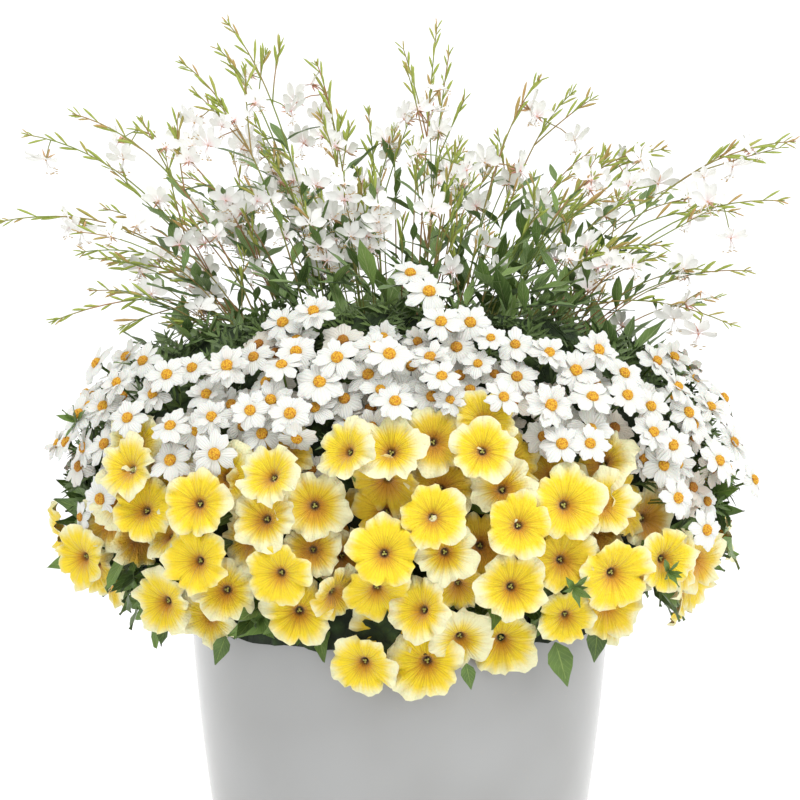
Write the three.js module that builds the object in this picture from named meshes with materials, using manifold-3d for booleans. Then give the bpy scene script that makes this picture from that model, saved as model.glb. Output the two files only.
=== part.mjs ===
// Mixed balcony planter: petunias, bidens and gaura in one glazed pot.
// Millimetres, +Z up, origin at the centre of the pot's foot, front towards -Y.
import * as THREE from 'three';
import { ConvexGeometry } from 'three/addons/geometries/ConvexGeometry.js';
import { mergeVertices } from 'three/addons/utils/BufferGeometryUtils.js';
import Module from 'manifold-3d';

const wasm = await Module();
wasm.setup();

// Pot
const POT_HEIGHT = 390;
const POT_RIM_RADIUS = 190;
const POT_WALL = 12;
const POT_FLOOR = 14;
const POT_FOOT_RADIUS = 122;
const POT_SIDES = 24;
const POT_PROFILE = [[126, 4], [149, 65], [167, 140], [180, 235], [187, 312], [190, 372]];
const DRAIN_COUNT = 3;
const DRAIN_RADIUS = 9;
const DRAIN_CIRCLE = 55;

// Soil
const SOIL_TOP = 365;
const SOIL_CROWN = 4;
const SOIL_GAP = 0.5;
const HOLE_DEPTH = 46;
const ROOT_END = SOIL_TOP - HOLE_DEPTH + 0.3;

// Flower mound: an ellipsoid that the bloom faces lie on
const MOUND_X = 322;
const MOUND_Y = 250;
const MOUND_UP = 228;
const MOUND_DOWN = 165;
const MOUND_Z = 447;
const SKIRT_RADIUS = 215;
const LAYER_STEP = 13;
const SHINGLE = 8;
const DEEPEST = 34;
const VIEW_SLOPE = Math.tan(THREE.MathUtils.degToRad(8));

// Leafy bodies inside the mound
const BODY_INSET = 50;
const BODY_BOTTOM = 396;
const SKIRT_TOP = 408;
const SKIRT_BOTTOM = 330;
const SKIRT_INNER = 192.5;
const SKIRT_OUTER = 204;
const BODY_GAP = 10;
const BODY_SLIT = 0.006;
const SPLIT_INNER = 138;
const SPLIT_LOW = 445;
const SPLIT_FRONT = 98;
const SPLIT_BACK = 45;
const SPLIT_INSET = 55;
const WALL_LEAST = 25;
const BUNCHES = 10;
const CLEARING_Y = 35;
const CLEARING_LOW = [100, 55];
const CLEARING_HIGH = [215, 95];
const CLEARING_TOP = 600;
const CROWN_RADIUS = 6.5;
const ROOT_DEPTH = 16;
const ROOT_DROP = 8;
const ROOT_MARGIN = 0.05;
const PETUNIA_CROWN_CIRCLE = 158;

// Who stays whole where two nodes would cross, the highest first; faces go down with their depth
const RANK = {
  stem: 9, crown: 8, gauraFace: 5, bud: 4, face: 3, largeLeaf: 2.2, gauraLeaf: 1, leaf: 0.5, body: 0,
};

// Blooms and leaves
const PETUNIA_RADIUS = 32;
const BIDENS_RADIUS = 22;
const GAURA_RADIUS = 16;
const STEM_RADIUS = 1.7;
const STEM_HOLE_RADIUS = 4.7;
const CLEARANCE = 0.42;
const LOBE_SHARES = [0.35, 0.55, 0.75, 0.9, 1];
const LOBE_LEAST = 0.3;
const SIMPLER = 0.12;
const RIM_POINTS = 10;
const DEEP_RIM_POINTS = 8;

// Petunia faces on the front: x, z, layer (0 outermost), size, turn to the right, turn upwards
const PETUNIAS = [
  [-236, 523, 1], [-234, 500, 0], [-225, 467, 0], [-255, 470, 1], [-273, 447, 1], [-281, 410, 0],
  [-247, 430, 1, 0.95, 0.9, 0], [-210, 445, 1, 0.8, -0.8, 0.4], [-170, 477, 0], [-152, 502, 1],
  [-110, 505, 0, 1, -0.4, 0.3], [-132, 494, 1, 0.95, 0.9, -0.2], [-116, 469, 0], [-173, 427, 0],
  [-140, 444, 1, 0.95, -0.9, 0], [-152, 398, 0], [-205, 382, 0, 1.05], [-173, 359, 1], [-102, 420, 0],
  [-87, 380, 0, 1.1], [-75, 480, 0, 1.05], [-47, 526, 0, 0.95, -0.6, 0.1], [-8, 529, 0, 1.05],
  [30, 539, 0.5], [46, 555, 1], [75, 556, 1], [69, 526, 0], [99, 524, 1], [-13, 500, 1, 1, 0, -0.6],
  [38, 500, 1], [90, 497, 1], [-12, 477, 1], [-13, 442, 0, 1.1], [27, 473, 0], [39, 440, 0, 0.95],
  [99, 465, 0], [74, 441, 2], [-47, 463, 2], [-78, 439, 1, 0.9], [95, 410, 0, 1.05],
  [-20, 398, 0, 1, 0, -0.5], [15, 393, 0, 1, -0.4, 0.4], [52, 402, 1, 0.85, 0, -0.5], [52, 360, 0],
  [89, 346, 0, 1.1], [22, 330, 0, 1.1, 0, -0.4], [-32, 333, 0, 1, 0, -0.4], [-12, 356, 1],
  [-54, 394, 1, 0.9, 0.8, -0.4], [-49, 423, 2, 0.9, 0.8, 0], [144, 478, 0, 1.1], [181, 476, 1],
  [185, 518, 1, 1.1, -0.8, 0], [142, 507, 2], [213, 470, 1, 1, 0.9, 0], [143, 427, 1],
  [183, 413, 0, 1.1], [190, 448, 1], [229, 420, 0], [260, 405, 1, 1, 0.9, 0], [142, 376, 0, 0.85],
  [187, 372, 1, 1.1], [197, 348, 1], [232, 376, 2], [265, 365, 1, 0.7, 0.9, -0.3], [243, 452, 2],
  [156, 450, 2], [125, 453, 1], [-200, 492, 2], [-140, 515, 2], [-113, 530, 2], [-215, 520, 2],
];

// Bidens faces on the front, in the same form
const BIDENS = [
  [-246, 564, 0], [-265, 546, 0], [-250, 548, 1, 0.9, 0.3, 0.6], [-234, 539, 0], [-282, 533, 0],
  [-217, 563, 0], [-200, 576, 0], [-182, 587, 0], [-165, 592, 1], [-147, 587, 0, 1.12],
  [-129, 602, 1], [-120, 587, 1, 1, -0.8, 0.3], [-109, 591, 2, 0.8], [-100, 590, 0, 1, 0, 0.6],
  [-172, 571, 0], [-153, 568, 1], [-135, 571, 1], [-111, 566, 0], [-213, 538, 0],
  [-195, 537, 0, 1, 0, 0.6], [-196, 554, 2, 0.8], [-183, 549, 1], [-178, 539, 1], [-159, 547, 0],
  [-126, 554, 0], [-121, 541, 0], [-132, 537, 2, 0.8], [-92, 553, 0], [-199, 511, 0],
  [-175, 505, 0], [-156, 518, 0, 1, 0, -0.3], [-288, 509, 1, 1, -0.8, 0], [-266, 517, 1],
  [-260, 485, 1], [-269, 468, 1], [-290, 446, 1, 0.8, -0.6, 0],
  [-104, 630, 1], [-93, 622, 1], [-74, 631, 0], [-90, 605, 0, 1.05], [-53, 597, 0, 1.08],
  [-69, 582, 0, 1.05], [-75, 565, 1], [-50, 577, 1], [-28, 593, 1], [-27, 572, 1, 1, 0, 0.7],
  [-47, 561, 2, 0.8], [-24, 550, 1, 0.9, 0, -0.5], [-88, 536, 0, 1, 0, -0.9], [-83, 517, 2, 0.8],
  [-9, 600, 0, 1.12], [-22, 610, 0], [1, 585, 1], [-17, 579, 1, 0.9], [-5, 576, 1, 0.9],
  [-4, 564, 0, 1, 0, 0.4], [9, 659, 0], [25, 646, 0, 1.12], [16, 626, 2, 0.8], [35, 624, 0, 1.05],
  [61, 628, 0], [50, 615, 1], [77, 611, 0, 0.8], [26, 602, 0, 1, 0, 0.5], [54, 599, 1],
  [68, 599, 1, 0.8], [35, 583, 0, 1, 0, 0.4], [63, 584, 0, 1, 0, 0.5], [28, 575, 1],
  [57, 574, 1, 0.9], [43, 568, 0, 0.8],
  [100, 610, 0, 0.9], [127, 598, 0], [103, 589, 0, 0.95], [170, 597, 0, 1.08], [153, 587, 0, 1.05],
  [181, 584, 2, 0.8], [200, 584, 1], [102, 573, 1, 0.9], [125, 576, 1], [167, 572, 1],
  [87, 566, 0, 0.9], [127, 558, 0, 1.12], [101, 558, 0], [163, 562, 0, 1, 0, 0.4], [180, 565, 2, 0.8],
  [194, 561, 0], [223, 568, 1], [241, 562, 0, 0.9, 0.3, 0.4], [220, 553, 0], [256, 543, 0],
  [264, 542, 1, 1, 0.6, 0], [152, 559, 2, 0.8], [171, 551, 1], [167, 541, 1], [139, 529, 0],
  [160, 526, 0], [216, 530, 0], [239, 519, 0], [237, 504, 1], [258, 504, 1], [277, 498, 0],
  [300, 488, 1, 0.9, 0.8, 0], [298, 505, 1, 0.9, 0.8, 0.4], [237, 474, 0], [253, 468, 1, 0.9, 0.8, 0],
  [264, 442, 0],
];

// Blooms of the back, spread by the golden ratio
const BACK_PETUNIAS = 28;
const BACK_BIDENS = 38;
const GOLDEN = 0.618034;
const BACK_LOWEST = 352;

// Gaura sprays: tip x, y, z, how far the stem bows outwards (0 straight), then the x, z of its blooms
const GAURA = [
  [-355, -25, 698, 1.15, [-283, 690]],
  [-335, 25, 772, 0.75, [-319, 749]],
  [-290, -15, 793, 0.7],
  [-309, -60, 612, 1.6],
  [-294, 90, 660, 1.1],
  [-238, 35, 777, 0.7, [-255, 737]],
  [-191, -30, 838, 0.6, [-189, 780], [-175, 762]],
  [-165, 60, 848, 0.6, [-157, 753], [-144, 740]],
  [-153, 5, 872, 0.55, [-130, 799], [-121, 717]],
  [-76, 60, 836, 0.5, [-99, 799], [-90, 762]],
  [-70, -35, 793, 0.5, [-74, 730], [-54, 699]],
  [-29, 85, 789, 0.4, [-49, 753]],
  [33, 25, 868, 0.4, [27, 799], [4, 785]],
  [45, 90, 843, 0.4, [36, 735]],
  [47, -45, 761, 0.4, [27, 708], [4, 762]],
  [125, 20, 822, 0.6, [117, 794], [108, 739]],
  [158, 85, 807, 0.6, [162, 762]],
  [217, -25, 761, 0.8, [202, 730]],
  [240, 60, 757, 0.8, [234, 726]],
  [232, -65, 680, 1.0, [171, 671]],
  [302, 15, 703, 1.05, [261, 700]],
  [340, -30, 717, 0.95, [301, 653]],
  [358, 45, 765, 0.85, [301, 742]],
  [290, -75, 612, 1.6, [262, 603], [243, 620]],
  [-120, 190, 750, 0.8, [-110, 715]],
  [60, 205, 745, 0.8, [50, 705]],
  [185, 165, 700, 0.9, [150, 675]],
];
const GAURA_BASE = [0.23, 0.22];
const BUDS = 2;
const STEM_STEPS = 5;
const GAURA_LEAVES = 2;

// Large leaves that stand clear of the petunias: x, z, then the tip's shift right and up, width
const LARGE_LEAVES = [
  [133, 345, 22, -26, 44], [172, 352, 8, -34, 26], [55, 322, -6, -30, 26], [-222, 352, -34, 2, 16],
  [-294, 484, -24, 24, 16], [140, 400, 20, 24, 18], [228, 392, 26, 18, 16], [186, 500, 34, 4, 24],
];
const PETUNIA_LEAVES = 4;
const BIDENS_LEAVES = 2;

let seed = 4711;
function draw(low, high) {
  seed = (seed * 16807) % 2147483647;
  return low + ((high - low) * seed) / 2147483647;
}

const vec = (x, y, z) => new THREE.Vector3(x, y, z);

// A closed three.js geometry as a solid
function solidOf(geometry) {
  const plain = geometry.index ? geometry : geometry.clone();
  plain.deleteAttribute('normal');
  plain.deleteAttribute('uv');
  const merged = mergeVertices(plain, 1e-4);
  return new wasm.Manifold(new wasm.Mesh({
    numProp: 3,
    vertProperties: new Float32Array(merged.attributes.position.array),
    triVerts: new Uint32Array(merged.index.array),
  }));
}

// A closed surface through rings of points; a ring may be a single point
function loft(rings) {
  const faces = [];
  let start = 0;
  for (let k = 0; k + 1 < rings.length; k++) {
    const [n, m] = [rings[k].length, rings[k + 1].length];
    const next = start + n;
    let [i, j] = [0, 0];
    while (i < n || j < m) {
      const stepsAbove = j === m || (i < n && (i + 1) / n <= (j + 1) / m);
      const [a, b] = [start + (i % n), next + (j % m)];
      if (stepsAbove) {
        if (n > 1) faces.push([a, start + ((i + 1) % n), b]);
        i += 1;
      } else {
        if (m > 1) faces.push([a, next + ((j + 1) % m), b]);
        j += 1;
      }
    }
    start = next;
  }
  const geometry = new THREE.BufferGeometry().setFromPoints(rings.flat());
  return turnedOut(geometry, faces);
}

// A closed set of faces as a solid, its faces turned outwards
function turnedOut(geometry, faces) {
  geometry.setIndex(faces.flat());
  const made = solidOf(geometry);
  if (made.volume() > 0) return made;
  geometry.setIndex(faces.map(([a, b, c]) => [a, c, b]).flat());
  return solidOf(geometry);
}

// Axes of a bloom that faces one way
function axes(facing) {
  const w = facing.clone().normalize();
  const u = vec(0, 0, 1).cross(w);
  if (u.lengthSq() < 0.01) u.set(1, 0, 0);
  u.normalize();
  return { u, v: w.clone().cross(u), w };
}

// A ring of points round an axis; shape(i) gives radius and height of point i
function ring(centre, frame, count, turn, shape) {
  return Array.from({ length: count }, (_, i) => {
    const [radius, height] = shape(i);
    const angle = turn + (i / count) * Math.PI * 2;
    return centre.clone()
      .addScaledVector(frame.u, Math.cos(angle) * radius)
      .addScaledVector(frame.v, Math.sin(angle) * radius)
      .addScaledVector(frame.w, height);
  });
}

// Points round a bloom's rim, fewer where it lies deep among others
const rimCount = (bloom) => (bloom.depth < LAYER_STEP ? RIM_POINTS : DEEP_RIM_POINTS);

// Lobed funnel whose tube runs back to its root
const petunia = {
  radius: PETUNIA_RADIUS,
  solid(bloom, f, r) {
    const at = (count, shape) => ring(bloom.centre, f, count, bloom.turn, shape);
    const count = rimCount(bloom);
    const lobe = (i) => (i % 2 ? [0.92 * r, -0.05 * r] : [1.05 * r, 0.02 * r]);
    const rim = at(count, (i) => [bloom.reach(i, count) * lobe(i)[0], lobe(i)[1]]);
    const throat = bloom.depth < LAYER_STEP ? [at(5, () => [r * 0.3, -0.2 * r])] : [];
    const tube = at(3, () => this.tube.map((share) => share * r));
    return loft([at(1, () => [0, -0.3 * r]), ...throat, rim, tube, [bloom.root]]);
  },
  slab: [[1.2, 0.12], [1.2, -0.12], [0.4, -0.4]],
  neck: [0.24, -0.32],
  tube: [0.22, -0.36],
};

// Daisy of four or five broad rays round a raised disc, on a thin stalk
const bidens = {
  radius: BIDENS_RADIUS,
  solid(bloom, f, r) {
    const at = (count, shape) => ring(bloom.centre, f, count, bloom.turn, shape);
    const count = rimCount(bloom);
    const rim = at(count, (i) => (i % 2 ? [0.52 * r, -0.04 * r] : [1.04 * r * bloom.reach(i, count), 0.04 * r]));
    const disc = bloom.depth < LAYER_STEP ? [at(3, () => [r * 0.26, 0.08 * r])] : [];
    const cup = at(3, () => this.tube.map((share) => share * r));
    return loft([at(1, () => [0, 0.26 * r]), ...disc, rim, cup, [bloom.root]]);
  },
  slab: [[1.2, 0.16], [1.2, -0.1], [0.3, -0.24]],
  neck: [0.2, -0.16],
  tube: [0.18, -0.2],
};

// Four clawed petals on a short stalk that runs back into its stem
const gauraBloom = {
  radius: GAURA_RADIUS,
  solid(bloom, f, r) {
    const at = (count, shape) => ring(bloom.centre, f, count, bloom.turn, shape);
    const rim = at(12, (i) => (i % 3 === 2 ? [0.28 * r, 0] : [r, 0.12 * r]));
    const cup = at(3, () => this.tube.map((share) => share * r));
    return loft([at(1, () => [0, 0.14 * r]), rim, cup, [bloom.root]]);
  },
  slab: [[1.1, 0.3], [1.1, -0.1], [0.3, -0.3]],
  neck: [0.2, -0.1],
  tube: [0.12, -0.2],
};

const hull = (points) => solidOf(new ConvexGeometry(points));

// What a bloom's face keeps free round it, and what its stalk does
function faceRoom(form, bloom) {
  const f = axes(bloom.facing);
  const r = form.radius * bloom.size;
  return hull(form.slab.flatMap(([radius, height]) => ring(bloom.centre, f, 6, bloom.turn, () => [
    radius * r + CLEARANCE, height * r + CLEARANCE * Math.sign(height),
  ])));
}
function stalkRoom(form, bloom, margin) {
  const f = axes(bloom.facing);
  const r = form.radius * bloom.size;
  const [radius, height] = form.neck;
  const end = bloom.root.clone().sub(bloom.centre).setLength(2 * margin);
  return hull([
    ...ring(bloom.centre, f, 4, bloom.turn, () => [radius * r * 1.42 + margin, height * r + margin]),
    ...ring(bloom.centre, f, 3, bloom.turn, () => [form.tube[0] * r + 2 * margin, form.tube[1] * r - margin]),
    ...ring(bloom.root.clone().add(end), f, 4, bloom.turn, () => [margin * 1.5, 0]),
  ]);
}

// Blade from its root to its tip, thickest along its rib
function blade(root, tip, width, thickness, grow) {
  const along = tip.clone().sub(root);
  const side = along.clone().cross(vec(0, 0, 1)).normalize();
  const up = side.clone().cross(along).normalize();
  const middle = root.clone().addScaledVector(along, 0.5);
  const at = (s, t) => middle.clone().addScaledVector(side, s).addScaledVector(up, t);
  const reach = along.clone().normalize().multiplyScalar(grow);
  const under = grow ? [at(0, -thickness * 0.5 - 2 * grow)] : [];
  return hull([
    root.clone().sub(reach), tip.clone().add(reach),
    at(width / 2 + 2 * grow, 0), at(-width / 2 - 2 * grow, 0), at(0, thickness + 2 * grow), ...under,
  ]);
}

// Slim stem of three sides through its points, pointed at both ends
function stem(points, radius) {
  const side = points.at(-1).clone().sub(points[0]).cross(vec(0, 0, 1)).normalize();
  const rings = points.slice(1, -1).map((point, i) => {
    const w = points[i + 2].clone().sub(points[i]).normalize();
    return ring(point, { u: side, v: w.clone().cross(side), w }, 3, 0, () => [radius, 0]);
  });
  return loft([[points[0]], ...rings, [points.at(-1)]]);
}

// Upright prism, for a crown stem or the hole that it stands in
function post(x, y, low, high, radius, sides) {
  const geometry = new THREE.CylinderGeometry(radius, radius, high - low, sides);
  geometry.rotateX(Math.PI / 2);
  geometry.translate(x, y, (low + high) / 2);
  return solidOf(geometry);
}

// Radius of the mound and of its parts, by direction and height
function moundRadius(angle, z) {
  const reach = z > MOUND_Z ? MOUND_UP : MOUND_DOWN;
  const flat = Math.hypot(Math.cos(angle) / MOUND_X, Math.sin(angle) / MOUND_Y);
  return Math.sqrt(Math.max(0, 1 - ((z - MOUND_Z) / reach) ** 2)) / flat;
}
const bodyRadius = (angle, z) => (
  Math.max(moundRadius(angle, z) - BODY_INSET, z <= SKIRT_TOP ? SKIRT_OUTER : 0));

function clearingRadius(angle, z) {
  const rise = THREE.MathUtils.clamp((z - BODY_BOTTOM) / (CLEARING_TOP - BODY_BOTTOM), 0, 1);
  const a = THREE.MathUtils.lerp(CLEARING_LOW[0], CLEARING_HIGH[0], rise);
  const b = THREE.MathUtils.lerp(CLEARING_LOW[1], CLEARING_HIGH[1], rise);
  const [c, s] = [Math.cos(angle), Math.sin(angle)];
  const p = (c / a) ** 2 + (s / b) ** 2;
  const q = (s * CLEARING_Y) / b ** 2;
  const r = (CLEARING_Y / b) ** 2 - 1;
  return (q + Math.sqrt(q * q - p * r)) / p;
}

function splitHeight(angle) {
  const front = Math.max(0, -Math.sin(angle));
  const back = Math.max(0, Math.sin(angle));
  return SPLIT_LOW + SPLIT_FRONT * front ** 2.5 + SPLIT_BACK * back ** 2;
}
const splitRadius = (angle, z) => {
  const top = splitHeight(angle);
  const rise = (z - BODY_BOTTOM) / (top - BODY_BOTTOM);
  const outer = Math.max(bodyRadius(angle, top) - SPLIT_INSET, clearingRadius(angle, top) + WALL_LEAST);
  return THREE.MathUtils.lerp(SPLIT_INNER, outer, rise);
};

// Height where the bidens body's outer side reaches the clearing
function bodyTop(angle) {
  let z = splitHeight(angle) + 30;
  while (z < 660 && bodyRadius(angle, z) - clearingRadius(angle, z) > 14) z += 2;
  return z;
}

function petuniaSection(angle) {
  const top = splitHeight(angle) - BODY_GAP;
  const out = (z) => [bodyRadius(angle, z), z];
  return [
    [SKIRT_INNER, SKIRT_BOTTOM], out(SKIRT_BOTTOM), out(365), out(SKIRT_TOP),
    out(THREE.MathUtils.lerp(SKIRT_TOP, top, 0.5)),
    out(top), [splitRadius(angle, top) + BODY_GAP, top], [SPLIT_INNER + BODY_GAP, BODY_BOTTOM],
    [SKIRT_INNER, BODY_BOTTOM],
  ];
}

function bidensSection(angle) {
  const low = splitHeight(angle);
  const top = bodyTop(angle);
  const out = (z) => [bodyRadius(angle, z), z];
  const inner = (z) => [clearingRadius(angle, z), z];
  return [
    [SPLIT_INNER, BODY_BOTTOM], [splitRadius(angle, low), low], out(low),
    out(THREE.MathUtils.lerp(low, top, 0.4)), out(THREE.MathUtils.lerp(low, top, 0.75)), out(top),
    inner(top), inner(BODY_BOTTOM),
  ];
}

// Wedge of a body: its section on three planes, joined side by side and closed at both ends
function wedge(section, from, to) {
  const planes = [from, (from + to) / 2, to].map((angle) => section(angle)
    .map(([r, z]) => vec(Math.cos(angle) * r, Math.sin(angle) * r, z)));
  const count = planes[0].length;
  const faces = [];
  for (let k = 0; k < 2; k++) {
    for (let i = 0; i < count; i++) {
      const [a, b] = [k * count + i, k * count + ((i + 1) % count)];
      faces.push([a, b, b + count], [a, b + count, a + count]);
    }
  }
  [from, to].forEach((angle, end) => {
    const flat = section(angle).map(([r, z]) => new THREE.Vector2(r, z));
    const start = end * 2 * count;
    THREE.ShapeUtils.triangulateShape(flat, []).forEach(([a, b, c]) => {
      faces.push(end ? [start + a, start + b, start + c] : [start + a, start + c, start + b]);
    });
  });
  const geometry = new THREE.BufferGeometry().setFromPoints(planes.flat());
  return turnedOut(geometry, faces);
}

// Place and facing of a bloom: on the mound's front by x and z, or anywhere by direction and height
function normalAt(x, y, z) {
  const reach = z > MOUND_Z ? MOUND_UP : MOUND_DOWN;
  const n = vec(x / MOUND_X ** 2, y / MOUND_Y ** 2, (z - MOUND_Z) / reach ** 2);
  if (z < MOUND_Z) n.z *= 0.6;
  return n.normalize();
}

function frontPlace(x, z) {
  const reach = z > MOUND_Z ? MOUND_UP : MOUND_DOWN;
  const depth = MOUND_Y * Math.sqrt(Math.max(0.02, 1 - (x / MOUND_X) ** 2 - ((z - MOUND_Z) / reach) ** 2));
  const skirt = z < BODY_BOTTOM ? Math.sqrt(Math.max(0, SKIRT_RADIUS ** 2 - x * x)) : 0;
  const y = -Math.max(depth, skirt);
  const place = vec(x, y, z + (-y - depth) * VIEW_SLOPE);
  const normal = normalAt(place.x, place.y, place.z);
  return { place, normal };
}

function roundPlace(angle, z) {
  const r = Math.max(moundRadius(angle, z), z < BODY_BOTTOM ? SKIRT_RADIUS : 0);
  const place = vec(Math.cos(angle) * r, Math.sin(angle) * r, z);
  return { place, normal: normalAt(place.x, place.y, place.z) };
}

const sector = Math.PI * 2 / BUNCHES;
const firstPetunia = -Math.PI / 2 - sector / 2;
const turnOf = (angle, start) => THREE.MathUtils.euclideanModulo(angle - start, Math.PI * 2);
const bunchOf = (angle, start) => Math.floor(turnOf(angle, start) / sector) % BUNCHES;

// Where a stalk ends inside its own leafy body
function rootOf(place, start, low, high) {
  let angle = Math.atan2(place.y, place.x);
  const bunch = bunchOf(angle, start);
  const local = turnOf(angle, start) - bunch * sector;
  angle = start + bunch * sector + THREE.MathUtils.clamp(local, ROOT_MARGIN, sector - ROOT_MARGIN);
  const z = THREE.MathUtils.clamp(place.z - ROOT_DROP, low(angle), high(angle));
  const skirtMiddle = (bodyRadius(angle, z) - SKIRT_INNER) / 2;
  const depth = z < SKIRT_TOP ? Math.min(ROOT_DEPTH, skirtMiddle) : ROOT_DEPTH;
  const r = Math.max(bodyRadius(angle, z) - depth, z < BODY_BOTTOM + 4 ? SKIRT_INNER + 4 : 0);
  return { bunch, root: vec(Math.cos(angle) * r, Math.sin(angle) * r, z) };
}
const petuniaRoot = (place) => rootOf(
  place, firstPetunia, () => SKIRT_BOTTOM + 14, (angle) => splitHeight(angle) - BODY_GAP - 6);
const bidensRoot = (place) => rootOf(
  place, firstPetunia + sector / 2, (angle) => splitHeight(angle) + 12, (angle) => bodyTop(angle) - 12);

// Each piece of a node has its solid and what others keep out of; the higher rank stays whole
const pieces = [];
function addPiece(node, rank, make) {
  const solid = make(0);
  pieces.push({ node, rank, solid, box: solid.boundingBox(), rooms: () => [make(CLEARANCE)] });
}

function addFace(node, rank, form, bloom) {
  const solid = form.solid(bloom, axes(bloom.facing), form.radius * bloom.size);
  const stalk = () => stalkRoom(form, bloom, 0.2);
  pieces.push({
    node, rank, solid, stalk, box: solid.boundingBox(), isFace: true,
    rooms: () => [faceRoom(form, bloom), stalkRoom(form, bloom, CLEARANCE)],
  });
}

// Blooms that overlap lie at different depths, like shingles, the outer ones first
const placed = [];
function shingle(spot, radius, start) {
  const near = placed.filter((other) => other.place.distanceTo(spot.place) < 0.85 * (other.radius + radius));
  const gap = (depth) => Math.min(SHINGLE, ...near.map((other) => Math.abs(other.depth - depth)));
  let best = start;
  for (let depth = start; depth <= Math.max(start, DEEPEST); depth += SHINGLE / 2) {
    if (gap(depth) > gap(best)) best = depth;
    if (gap(best) >= SHINGLE) break;
  }
  placed.push({ place: spot.place.clone(), radius, depth: best });
  return best;
}

const blooms = [];
function addBloom(kind, spot, layer, size, right, up) {
  const isPetunia = kind === 'petunia';
  const form = isPetunia ? petunia : bidens;
  const depth = shingle(spot, form.radius * size, layer * LAYER_STEP);
  const toFront = spot.place.y < 0 ? -0.25 : 0.1;
  const facing = spot.normal.clone().multiplyScalar(0.65)
    .add(vec(right + draw(-0.09, 0.09), toFront, 0.15 + up + draw(-0.09, 0.09)));
  const turn = draw(0, Math.PI * 2);
  const centre = spot.place.clone().addScaledVector(spot.normal, -depth);
  const { bunch, root } = isPetunia ? petuniaRoot(centre) : bidensRoot(centre);
  const node = `${kind}_bunch_${bunch + 1}`;
  const r = form.radius * size;
  blooms.push({ node, form, centre, facing, root, size, turn, depth, frame: axes(facing), r });
}

// Whether a bloom's face or stalk fills a point, with a little room round it
function fills(bloom, point) {
  const local = point.clone().sub(bloom.centre);
  const height = local.dot(bloom.frame.w);
  const across = Math.sqrt(Math.max(0, local.lengthSq() - height * height)) / bloom.r;
  const low = -(0.1 + 0.3 * (1 - across)) * bloom.r - 3;
  if (across < 1.08 && height > low && height < 0.12 * bloom.r + 3) return true;
  const stalk = new THREE.Line3(bloom.centre, bloom.root);
  return stalk.closestPointToPoint(point, true, vec()).distanceTo(point) < 5;
}

// How far each lobe reaches before it would run under a bloom that lies further out
function openReach(bloom, above) {
  const { u, v } = bloom.frame;
  return (i, count) => {
    const angle = bloom.turn + (i / count) * Math.PI * 2;
    const free = (share) => {
      const point = bloom.centre.clone()
        .addScaledVector(u, Math.cos(angle) * bloom.r * share)
        .addScaledVector(v, Math.sin(angle) * bloom.r * share);
      return !above.some((other) => fills(other, point));
    };
    const covered = LOBE_SHARES.findIndex((share) => !free(share));
    if (covered < 0) return 1;
    return covered === 0 ? LOBE_LEAST : LOBE_SHARES[covered - 1];
  };
}

function buildBlooms() {
  blooms.sort((a, b) => a.depth - b.depth);
  blooms.forEach((bloom, i) => {
    const above = blooms.slice(0, i).filter((other) => (
      other.centre.distanceTo(bloom.centre) < other.r + bloom.r + 20));
    bloom.reach = openReach(bloom, above);
    addFace(bloom.node, RANK.face - bloom.depth / LAYER_STEP - i / 1000, bloom.form, bloom);
  });
}

// Gaura sprays
function gauraLine([x, y, z, bow]) {
  const base = vec(x * GAURA_BASE[0], CLEARING_Y + (y - CLEARING_Y) * GAURA_BASE[1], SOIL_TOP);
  const lift = SOIL_TOP + (z - SOIL_TOP) * (0.55 + 0.5 * bow);
  const spread = 0.5 - 0.28 * bow;
  const knee = vec(base.x + (x - base.x) * spread, base.y + (y - base.y) * spread, lift);
  const arch = new THREE.QuadraticBezierCurve3(base.clone().setZ(SOIL_TOP + 6), knee, vec(x, y, z));
  return { base, line: arch.getPoints(STEM_STEPS) };
}
function onLine(line, share) {
  const i = Math.min(line.length - 2, Math.floor(share * (line.length - 1)));
  const part = share * (line.length - 1) - i;
  return { at: line[i].clone().lerp(line[i + 1], part), ahead: line[i + 1].clone().sub(line[i]).normalize() };
}

const sprays = GAURA.map((entry) => ({ entry, ...gauraLine(entry) }));
sprays.forEach(({ entry, base, line }, i) => {
  const node = `gaura_spray_${i + 1}`;
  const root = base.clone().setZ(ROOT_END);
  addPiece(node, RANK.stem, (grow) => stem([root, ...line], STEM_RADIUS + grow * 1.6));
  entry.slice(4).forEach(([x, z]) => {
    const spots = Array.from({ length: 80 }, (_, k) => onLine(line, 0.2 + k / 100).at);
    const near = spots.reduce((best, p) => (
      Math.hypot(p.x - x, p.z - z) < Math.hypot(best.x - x, best.z - z) ? p : best));
    const reach = vec(x, near.y + draw(-10, 10), z).sub(near).clampLength(12, 30);
    const centre = near.clone().add(reach);
    const facing = reach.clone().normalize().add(vec(0, -0.7, 0.35));
    const bloom = { centre, facing, root: near, size: 1, turn: draw(0, 6) };
    addFace(node, RANK.gauraFace + draw(0, 0.4), gauraBloom, bloom);
  });
  for (let k = 0; k < BUDS; k++) {
    const { at, ahead } = onLine(line, 0.84 + 0.12 * (k / BUDS));
    const out = ahead.clone().add(vec(draw(-0.6, 0.6), draw(-0.6, 0.6), draw(-0.1, 0.5))).normalize();
    const tip = at.clone().addScaledVector(out, 24);
    addPiece(node, RANK.bud, (grow) => blade(at, tip, 4.5, 3, grow));
  }
  for (let k = 0; k < GAURA_LEAVES; k++) {
    const { at } = onLine(line, 0.45 + 0.12 * k + draw(-0.03, 0.03));
    const round = draw(0, Math.PI * 2);
    const tip = at.clone().add(vec(Math.cos(round) * 42, Math.sin(round) * 30, 34));
    addPiece(node, RANK.gauraLeaf + draw(0, 0.4), (grow) => blade(at, tip, 14, 1.8, grow));
  }
});

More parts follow.
